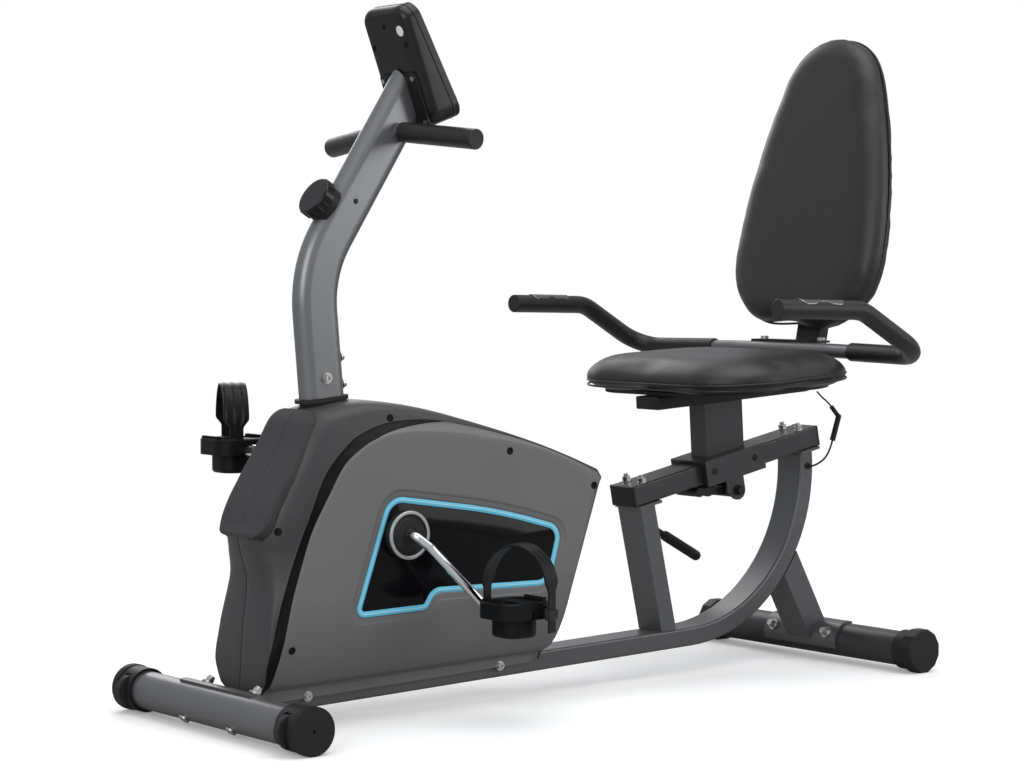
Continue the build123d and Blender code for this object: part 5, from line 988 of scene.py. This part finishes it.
def on_seat(along, y, up):
    """A point in the seat's own axes, turned by its tilt about the middle of the cushion's underside."""
    return at(seat_mid_x + along * math.cos(seat_tilt) - up * math.sin(seat_tilt), y,
              seat_under_z + along * math.sin(seat_tilt) + up * math.cos(seat_tilt))


half_length, half_breadth, corner = 166, 218, 110
seat_line = resample(rounded_outline([(-half_length, -half_breadth, corner), (half_length, -half_breadth, corner),
                                      (half_length, half_breadth, corner), (-half_length, half_breadth, corner)],
                                     24), 220)
for up, spread, tag in ((8.0, 0.2, "lower"), (17.0, 0.4, "upper")):
    grown = drawn_in(seat_line, -spread)
    looped("seat_welt_" + tag, on_seat(grown[:, 0], grown[:, 1], up), 0.0019, "seat", piping_vinyl)
print("seat welts", round(2 * half_length), "x", round(2 * half_breadth), "mm")

# %% [markdown]
# The flat tube under the seat ends in front in a moulded plug. It is drawn in the seat's own axes, as a
# rounded rectangle that shrinks over its last millimetre.

# %% Plug in the seat's tube
tube_mid = -17.0
plug_shape = rounded_outline([(-28.5, -9.5, 2.5), (28.5, -9.5, 2.5), (28.5, 9.5, 2.5), (-28.5, 9.5, 2.5)], 6)
plug_rings = []
for along, inset in ((-151.0, 0.0), (-157.6, 0.0), (-158.6, 1.4), (-158.8, 4.0)):
    shape = drawn_in(plug_shape, inset)
    plug_rings.append(on_seat(along, shape[:, 0], tube_mid + shape[:, 1]))
closed_stack("seat_tube_plug", plug_rings, "seat", black_plastic)
print("plug rings", len(plug_rings))

# %% [markdown]
# The backrest leans back, and its tube turns up behind the seat. Its foot is found as the drawings find
# it: along the seat's tube to the corner, then up the leaning post to the pad's lowest height. The
# pad's outline is wide at the foot and narrow at the top, a smooth closed curve through a few points.

# %% Welt round the backrest
post_x, tube_drop, board_gap, foot_z = 1232, 17, 11, 595
corner_along = (post_x - seat_mid_x) / math.cos(seat_tilt)
corner_x = seat_mid_x + corner_along * math.cos(seat_tilt) + tube_drop * math.sin(seat_tilt)
corner_z = seat_under_z + corner_along * math.sin(seat_tilt) - tube_drop * math.cos(seat_tilt)
rise = (foot_z - corner_z) / math.cos(back_lean)
back_foot = np.array([corner_x + rise * math.sin(back_lean) - board_gap * math.cos(back_lean),
                      foot_z + board_gap * math.sin(back_lean)])


def on_back(across, up, out):
    """A point in the backrest's own axes: up from its foot, out from the board's rear towards the rider."""
    return at(back_foot[0] + up * math.sin(back_lean) - out * math.cos(back_lean), across,
              back_foot[1] + up * math.cos(back_lean) + out * math.sin(back_lean))


half_back = np.array([(0, 0), (97, 4), (165, 62), (177, 140), (166, 250), (127, 400), (78, 488), (0, 518)], float)
back_line = np.concatenate([half_back, half_back[-2:0:-1] * (-1, 1)])
back_line = smooth_through(np.concatenate([back_line] * 3 + [back_line[:1]]), 901)[300:600]
grown = drawn_in(back_line, -0.6)
looped("backrest_welt", on_back(grown[:, 0], grown[:, 1], 20.0), 0.0021, "seat", piping_vinyl,
       up=(-math.cos(back_lean), 0, math.sin(back_lean)))
print("backrest foot", back_foot.round(1))

# %% [markdown]
# ## Pedal straps
# Each strap is one moulded band in an upright plane that is turned towards the heel. Its middle is wide
# with three ribs, its ends are narrow, and the free end hangs down from a buckle at the pedal's side.
# A curve with a bevel has one section from end to end, so this is a section carried along half an
# ellipse, and a share that goes smoothly from 0 to 1 and back makes it wide and ribbed in the middle.

# %% The strap's line and section
crank_length, crank_angle, pedal_y = 165, math.radians(46), 221.0
half_span, arch_foot, arch_height = 55.5, 40, 66.5
turn = np.linspace(math.pi, 0, 60)
arch = np.column_stack([half_span * np.cos(turn), arch_foot + arch_height * np.sin(turn)])
front_end = np.column_stack([np.full(9, -half_span), np.linspace(13, 38, 9)])
hanging_end = np.column_stack([np.full(22, half_span), np.linspace(38, -26, 22)])
strap_line = np.concatenate([front_end, arch, hanging_end])
walk = np.concatenate([[0], np.cumsum(np.linalg.norm(np.diff(strap_line, axis=0), axis=1))])
narrow_front, narrow_rear, grows_over = 24, 62, 16.0
share = np.clip(np.minimum(walk - narrow_front, walk[-1] - narrow_rear - walk) / grows_over, 0, 1)[:, None]
end_half, middle_extra, half_thick, rib_height = 11.0, 9.5, 1.4, 1.1
half_width = end_half + middle_extra * share * share * (3 - 2 * share)
across = np.linspace(-1, 1, 33)[None, :]
rib = rib_height * np.clip(np.cos(across * 3 * math.pi) + 0.25, 0, 1)
outer = np.stack([half_width * across, half_thick + rib * share], axis=-1)
inner = np.stack([half_width * across[:, ::-1], -half_thick + 0 * outer[..., 0]], axis=-1)
section = np.concatenate([outer, inner], axis=1)
ahead = np.gradient(strap_line, axis=0)
ahead /= np.linalg.norm(ahead, axis=1)[:, None]
lift = np.stack([-ahead[:, 1], ahead[:, 0]], axis=1)
place = strap_line[:, None, :] + lift[:, None, :] * section[..., 1:]
print("strap", round(walk[-1]), "mm long,", round(2 * half_width.max()), "mm wide")

# %% [markdown]
# The same line serves both pedals. Each pedal's own axes are its middle, the way its strap faces and
# the level direction across it, and the buckle is a small rounded block at the hanging end.

# %% Straps and buckles on both pedals
buckle = rounded_outline([(-15, -6, 2), (15, -6, 2), (15, 9, 2), (-15, 9, 2)], 5)
facing_turn = math.radians(25)
for side, end_sign, tag in ((-1, 1, "left"), (1, -1, "right")):
    axis = np.array([crank_x + end_sign * crank_length * math.cos(crank_angle), side * pedal_y,
                     crank_z - end_sign * crank_length * math.sin(crank_angle)])
    out = np.array([math.sin(facing_turn), side * math.cos(facing_turn), 0.0])
    level = np.array([out[1], -out[0], 0.0])
    middle = axis + out * 9.0
    rings = middle + place[..., :1] * out + level * section[..., :1]
    rings[..., 2] += place[..., 1]
    strap = closed_stack(tag + "_ribbed_strap", at(rings[..., 0], rings[..., 1], rings[..., 2]),
                         tag + "_pedal_body", strap_rubber)
    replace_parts(strap, tag + "_pedal_strap")
    rings = []
    for depth, inset in ((50.5, 1.0), (51.5, 0.0), (58.5, 0.0), (59.5, 1.2)):
        shape = drawn_in(buckle, inset)
        spot = middle + out * depth + level * shape[:, :1]
        spot[:, 2] += shape[:, 1]
        rings.append(at(spot[:, 0], spot[:, 1], spot[:, 2]))
    closed_stack(tag + "_strap_buckle", rings, tag + "_pedal_body", black_plastic)
    print(tag, "pedal at", axis.round(1))

# %% [markdown]
# ## Grips and small trim
# The lock lever ends in a rubber grip. It is turned, and a ripple of its radius gives the fine ribs that
# a moulded grip has; a bump in the material would leave its outline smooth. Its place comes from the
# lever's own run, between the bend and the end.

# %% Lever grip
lock_x, lever_y, lock_z = 1033.89, 170.0, 314.41
grip_length = 93
lever_end = np.array([lock_x + 95, lever_y, lock_z - 141])
lever_run = np.array([lock_x - 28, lever_y, lock_z - 74]) - lever_end
lever_run /= np.linalg.norm(lever_run)
grip_start = lever_end + lever_run * grip_length
grip_profile = [(0.0064, 0.0), (0.0083, 0.0008), (0.0092, 0.003), (0.0095, 0.008), (0.0095, 0.088), (0.009, 0.0925),
                (0.0072, 0.0955), (0.004, 0.097)]
lathe("lever_grip", at(*grip_start), -lever_run, grip_profile, "lever", rubber, 48, ribs=12, rib_depth=0.012)
print("lever grip starts at", grip_start.round(1))

# %% [markdown]
# A pulse plate is a thin sheet that lies on the foam and is narrower at its middle. It is a part of a
# cylinder: the angle it spans is 62 degrees each way, less a bell curve of 24 degrees, and its ends are
# rounded as a circle. The grip runs slightly outwards and down, so the plate follows its axis. It could
# be cut from a tube, but the formula keeps its thin edge clean.

# %% Pulse plates
grip_x, grip_y, grip_z = 840, 341, 636
grip_run, grip_out, grip_drop = 174, 15, 4
along, around = np.linspace(0, 1, 41)[:, None], np.linspace(-1, 1, 15)[None, :]
spread = math.radians(62) - math.radians(24) * np.exp(-((along - 0.5) / 0.16) ** 2)
ends = np.clip(np.minimum(along, 1 - along) / 0.12, 0, 1)
angle = spread * np.sqrt(1 - (1 - ends) ** 2 * 0.98) * around
radius = 16.9 - 0.9 * np.abs(around) ** 6
x = 878 + 90 * along
for side, tag in ((-1, "left"), (1, "right")):
    y = side * (grip_y + (x - grip_x) * grip_out / grip_run) + radius * np.sin(angle)
    z = grip_z - (x - grip_x) * grip_drop / grip_run + radius * np.cos(angle)
    plate = make_piece(tag + "_pulse_plate", at(x, y, z), grid_faces(*angle.shape), "seat", pulse_steel)
    wall = plate.modifiers.new("wall", "SOLIDIFY")
    wall.thickness, wall.offset = 0.0012, 0
print("pulse plate grid", angle.shape)

# %% [markdown]
# The smallest trim is turned: an end disc in each foam grip, the heads of the screws that hold the
# seat's sleeve, and a rubber plug in the mast's side.

# %% Grip ends, sleeve screws and mast plug
end_disc = [(0.0146, 0.0), (0.0146, 0.0012), (0.0138, 0.0024), (0.0126, 0.0026), (0.012, 0.0016), (0.0104, 0.0016),
            (0.0098, 0.0022), (0.004, 0.0024)]
for side, tag in ((-1, "left"), (1, "right")):
    lathe(tag + "_grip_end", at(grip_x + 0.6, side * grip_y, grip_z), (-1, 0, 0), end_disc, "seat", soft_plastic, 48)

screw_head = [(0.0056, -0.001), (0.0056, 0.0012), (0.0046, 0.0022), (0.0026, 0.0022), (0.0018, 0.0012)]
sleeve_half = 45.0
for index, (x, z) in enumerate(((975.5, 349.7), (1070.0, 369.5))):
    for side, tag in ((-1, "left"), (1, "right")):
        lathe(tag + "_sleeve_screw_" + str(index), at(x, side * sleeve_half, z), (0, side, 0), screw_head, "seat",
              black_plastic, 32)

plug_profile = [(0.0042, -0.001), (0.0042, 0.0006), (0.0034, 0.0011), (0.0016, 0.0012)]
mast_lean = math.radians(33)
mast_bend, mast_half, plug_up = np.array([172.4, 698.0]), 19.0, 128
spot = mast_bend + np.array([math.sin(mast_lean), math.cos(mast_lean)]) * plug_up
lathe("mast_plug", at(spot[0], -mast_half, spot[1]), (0, -1, 0), plug_profile, "frame", rubber, 32)
print("mast plug at", spot.round(1))

# %% [markdown]
# ## Console
# The rear shell is a stack of rounded rectangles: its back edge is softly rounded, as a quarter of an
# ellipse, and its depth grows towards the bottom. A bevelled cube would be as round at the bezel as at
# the back. A thin line of trim lies in the joint with the bezel.

# %% Console shell and trim line
console_foot = np.array([369.0, 922.0])
console_up = np.array([300.0 - 369.0, 1106.0 - 922.0])
console_height = float(np.linalg.norm(console_up))
console_up /= console_height
console_in = np.array([console_up[1], -console_up[0]])
console_half, console_corner, low_depth, high_depth = 58, 24, 58, 31


def console_ring(inset, behind=None, ahead=None):
    """A rounded rectangle drawn in by inset, at a depth behind the back face or ahead of the display."""
    half, low, high = console_half - inset, inset, console_height - inset
    corner = max(console_corner - inset, 6)
    shape = resample(rounded_outline([(-half, low, corner), (half, low, corner), (half, high, corner),
                                      (-half, high, corner)], 12), 160)
    full = low_depth - (low_depth - high_depth) * shape[:, 1] / console_height
    depth = np.full(len(shape), behind) if ahead is None else full - ahead
    spot = console_foot + console_up * shape[:, 1:] + console_in * depth[:, None]
    return at(spot[:, 0], shape[:, 0], spot[:, 1])


rear = [console_ring(12 * (1 - math.sin(a)), 0.2 + 14 * (1 - math.cos(a))) for a in np.linspace(0, math.pi / 2, 8)]
rear += [console_ring(0.0, ahead=13.4), console_ring(0.8, ahead=12.6), console_ring(3.0, ahead=12.6)]
rear_shell = closed_stack("console_back_shell", rear, "frame", console_black)
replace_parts(rear_shell, "console_rear_shell")
# The trim line wears the darker, shaded copy of the graphite paint.
looped("console_silver_line", console_ring(1.0, ahead=10.4), 0.0016, "frame", graphite_deep_shade_copy,
       up=(console_in[0], 0, console_in[1]))
print("console", round(2 * console_half), "x", round(console_height), "mm")

# %% [markdown]
# On the console's back are three screw wells, each a black dish that paints the shade inside the well, and a bare
# round sticker, each turned about the direction that the back faces.

# %% Sticker and screw wells


def on_console(y, up, behind):
    """A point of the console's back, measured from the middle of its low edge."""
    spot = console_foot + console_up * up + console_in * behind
    return at(spot[0], y, spot[1])


outwards = (-console_in[0], 0, -console_in[1])
sticker_profile = [(0.0086, -0.0002), (0.0086, 0.0002), (0.0082, 0.0004), (0.003, 0.0004)]
lathe("round_sticker", on_console(-37.5, 158.5, 0.3), outwards, sticker_profile, "frame", sticker_white, 64)
# Each screw well is a black dish that paints the shade inside it.
well_profile = [(0.0046, -0.0004), (0.0046, 0.0006), (0.004, 0.0009), (0.0032, 0.0004), (0.0014, 0.0004)]
for index, (y, up) in enumerate(((0, 168), (-43, 135.5), (43, 135.5))):
    lathe("console_screw_well_" + str(index), on_console(y, up, 0.1), outwards, well_profile, "frame", black_band_and_well_shade, 32)
print("sticker", 2 * sticker_profile[0][0] * 1000, "mm across")

# %% [markdown]
# Behind the lens lies the display, a thin plate along the front of the console, which leans more than
# the back does.

# %% Display
face_foot = console_foot + console_in * low_depth
face_up = console_foot + console_up * console_height + console_in * high_depth - face_foot
face_up /= np.linalg.norm(face_up)
face_out = np.array([face_up[1], -face_up[0]])
view_half, view_low, view_high, view_corner = 38, 101, 155, 3
shape = rounded_outline([(-view_half, view_low, view_corner), (view_half, view_low, view_corner),
                         (view_half, view_high, view_corner), (-view_half, view_high, view_corner)], 5)
rings = []
for depth in (-3.6, -2.6):
    spot = face_foot + face_up * shape[:, 1:] + face_out * depth
    rings.append(at(spot[:, 0], shape[:, 0], spot[:, 1]))
closed_stack("display_face", rings, "frame", lcd)
print("display", 2 * view_half, "x", view_high - view_low, "mm, facing", face_out.round(3))

# %% [markdown]
# ## Sensor leads
# A lead leaves the grommet in the riser and ends at an in-line plug; a thinner wire goes on up to the
# seat frame. Each is one open curve from the first point of its route to the last, and the points
# between pull it towards them, as a soft cord bends. Its real length is measured along the curve, which
# is a run of parabolas between the middles of the route's sides.


# %% Leads
def lead(name, route, diameter, body):
    """An open curve led by a route's points, and its length: arcs a(1 - t)^2 + 2bt(1 - t) + ct^2, in metres."""
    route = np.asarray(route, float)
    points = at(route[:, 0], route[:, 1], route[:, 2])
    curve = bpy.data.curves.new(name, "CURVE")
    curve.dimensions = "3D"
    curve.bevel_depth = diameter / 2
    curve.bevel_resolution = 4
    curve.use_fill_caps = True
    curve.resolution_u = 16
    spline = curve.splines.new("NURBS")
    spline.points.add(len(points) - 1)
    spline.points.foreach_set("co", np.column_stack([points, np.ones(len(points))]).ravel())
    spline.order_u = 3
    spline.use_endpoint_u = True
    curve.materials.append(rubber)
    piece = bpy.data.objects.new(name, curve)
    bpy.context.scene.collection.objects.link(piece)
    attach(piece, body)
    middles = (points[:-1] + points[1:]) / 2
    middles[0], middles[-1] = points[0], points[-1]
    t = np.linspace(0, 1, 60)[None, :, None]
    a, b, c = middles[:-1, None], points[1:-1, None], middles[1:, None]
    arcs = a * (1 - t) ** 2 + b * 2 * t * (1 - t) + c * t ** 2
    return piece, float(np.linalg.norm(np.diff(arcs, axis=1), axis=2).sum())


lead_route = [(1213, -30, 347), (1213, -43, 347), (1224, -52, 355), (1239, -49, 362), (1253.6, -46, 376.9),
              (1259, -46, 392)]
wire_route = [(1256, -46, 452), (1247.5, -46, 460.5), (1237, -40, 470), (1231, -34, 480)]
lower_lead, lower_length = lead("sensor_lead", lead_route, 0.0035, "frame")
upper_wire, upper_length = lead("sensor_wire", wire_route, 0.003, "seat")
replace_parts(lower_lead, "pulse_lead")
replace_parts(upper_wire, "pulse_wire")
tuple(at(*lead_route[0]))
tuple(at(*wire_route[0]))
print("leads mm", round(lower_length * 1000, 1), round(upper_length * 1000, 1))

# %% [markdown]
# ## Floor, light and camera
# The bike stands on a pale floor that keeps its shadow. Near the bike the floor is a matt surface with a
# little light of its own, and further off it turns smoothly into plain white. Rays other than the
# camera's meet a grey matt floor, so that the floor doesn't light the bike from below.

# %% Studio floor
floor_half = 14
floor_mesh = bpy.data.meshes.new("studio_floor")
floor_mesh.from_pydata([(-floor_half, -floor_half, 0), (floor_half, -floor_half, 0), (floor_half, floor_half, 0),
                        (-floor_half, floor_half, 0)], [], [(0, 1, 2, 3)])
floor = bpy.data.objects.new("studio_floor", floor_mesh)
bpy.context.scene.collection.objects.link(floor)
floor_material = bpy.data.materials.new("studio floor")
floor_material.use_nodes = True
tree = floor_material.node_tree
tree.nodes["Principled BSDF"].inputs["Base Color"].default_value = (0.9, 0.9, 0.9, 1)
tree.nodes["Principled BSDF"].inputs["Roughness"].default_value = 0.6
seen = tree.nodes.new("ShaderNodeLightPath")
lift = tree.nodes.new("ShaderNodeEmission")
lift.inputs["Color"].default_value = (1, 1, 1, 1)
lift.inputs["Strength"].default_value = 0.2
white = tree.nodes.new("ShaderNodeEmission")
white.inputs["Color"].default_value = (1, 1, 1, 1)
white.inputs["Strength"].default_value = 1.0
near = tree.nodes.new("ShaderNodeAddShader")
tree.links.new(tree.nodes["Principled BSDF"].outputs[0], near.inputs[0])
tree.links.new(lift.outputs[0], near.inputs[1])
length = tree.nodes.new("ShaderNodeVectorMath")
length.operation = "LENGTH"
tree.links.new(object_coordinates(tree), length.inputs[0])
away = tree.nodes.new("ShaderNodeMapRange")
away.interpolation_type = "SMOOTHSTEP"
away.inputs["From Min"].default_value = 0.9
away.inputs["From Max"].default_value = 2.2
tree.links.new(length.outputs["Value"], away.inputs["Value"])
backdrop = tree.nodes.new("ShaderNodeMixShader")
tree.links.new(away.outputs["Result"], backdrop.inputs[0])
tree.links.new(near.outputs[0], backdrop.inputs[1])
tree.links.new(white.outputs[0], backdrop.inputs[2])
by_ray = tree.nodes.new("ShaderNodeMixShader")
bounce = tree.nodes.new("ShaderNodeBsdfDiffuse")
bounce.inputs["Color"].default_value = (0.45, 0.45, 0.45, 1)
tree.links.new(seen.outputs["Is Camera Ray"], by_ray.inputs[0])
tree.links.new(bounce.outputs[0], by_ray.inputs[1])
tree.links.new(backdrop.outputs[0], by_ray.inputs[2])
tree.links.new(by_ray.outputs[0], tree.nodes["Material Output"].inputs["Surface"])
floor_mesh.materials.append(floor_material)
print("floor turns white between", away.inputs["From Min"].default_value, "and",
      away.inputs["From Max"].default_value, "m")

# %% [markdown]
# The world is an even pale light from all round. The camera sees it as plain white, and what it gives
# the bike is weaker, so that dark paint stays dark.

# %% World
world = bpy.data.worlds.new("studio")
world.use_nodes = True
bpy.context.scene.world = world
tree = world.node_tree
background = tree.nodes["Background"]
path = tree.nodes.new("ShaderNodeLightPath")
bright = tree.nodes.new("ShaderNodeBackground")
bright.inputs["Strength"].default_value = 1.0
bright.inputs["Color"].default_value = (1, 1, 1, 1)
background.inputs["Color"].default_value = (0.95, 0.97, 1.0, 1)
background.inputs["Strength"].default_value = 0.55
choose = tree.nodes.new("ShaderNodeMixShader")
tree.links.new(path.outputs["Is Camera Ray"], choose.inputs[0])
tree.links.new(background.outputs[0], choose.inputs[1])
tree.links.new(bright.outputs[0], choose.inputs[2])
tree.links.new(choose.outputs[0], tree.nodes["World Output"].inputs["Surface"])
print("world strength", background.inputs["Strength"].default_value)

# %% [markdown]
# Four large lamps give plain soft studio light: one above, one from the viewer's left, one from the
# viewer's right and a weaker one behind the bike. Small lamps or a sun would draw hard shadows, while
# large ones make wide soft highlights on the round tubes.


# %% Lamps
def area_lamp(name, place, target, size, power):
    """A square soft lamp at a place, turned to face a target."""
    data = bpy.data.lights.new(name, "AREA")
    data.shape = "SQUARE"
    data.size = size
    data.energy = power
    lamp = bpy.data.objects.new(name, data)
    bpy.context.scene.collection.objects.link(lamp)
    lamp.location = place
    lamp.rotation_euler = (Vector(target) - Vector(place)).to_track_quat("-Z", "Y").to_euler()
    print(name, power, "W")


area_lamp("lamp_above", (0.2, -0.6, 3.4), (0, 0, 0.4), 3.0, 62)
area_lamp("lamp_left", (-3.4, -2.0, 1.9), (0, 0, 0.5), 2.2, 46)
area_lamp("lamp_right", (2.6, -3.2, 1.7), (0.1, 0, 0.5), 2.0, 34)
area_lamp("lamp_behind", (1.0, 3.2, 2.2), (0, 0, 0.6), 2.0, 30)

# %% [markdown]
# The camera stands in front of the bike on the rider's left, at the height of the pads, and looks
# slightly down. A long lens keeps lines nearly parallel; a short one would swell the nearer pedal.

# %% Camera
camera_data = bpy.data.cameras.new("studio_camera")
camera_data.lens = 92.07
camera_data.sensor_width = 36.0
camera_data.clip_end = 60
camera = bpy.data.objects.new("studio_camera", camera_data)
bpy.context.scene.collection.objects.link(camera)
camera.location = at(-2082.9, -3372.7, 712.67)
look_down, turned_right = 2.69, 38.14
camera.rotation_euler = (math.radians(90 - look_down), 0, math.radians(-turned_right))
bpy.context.scene.camera = camera
bpy.context.scene.view_settings.view_transform = "Standard"
print("camera at", tuple(round(v, 3) for v in camera.location))
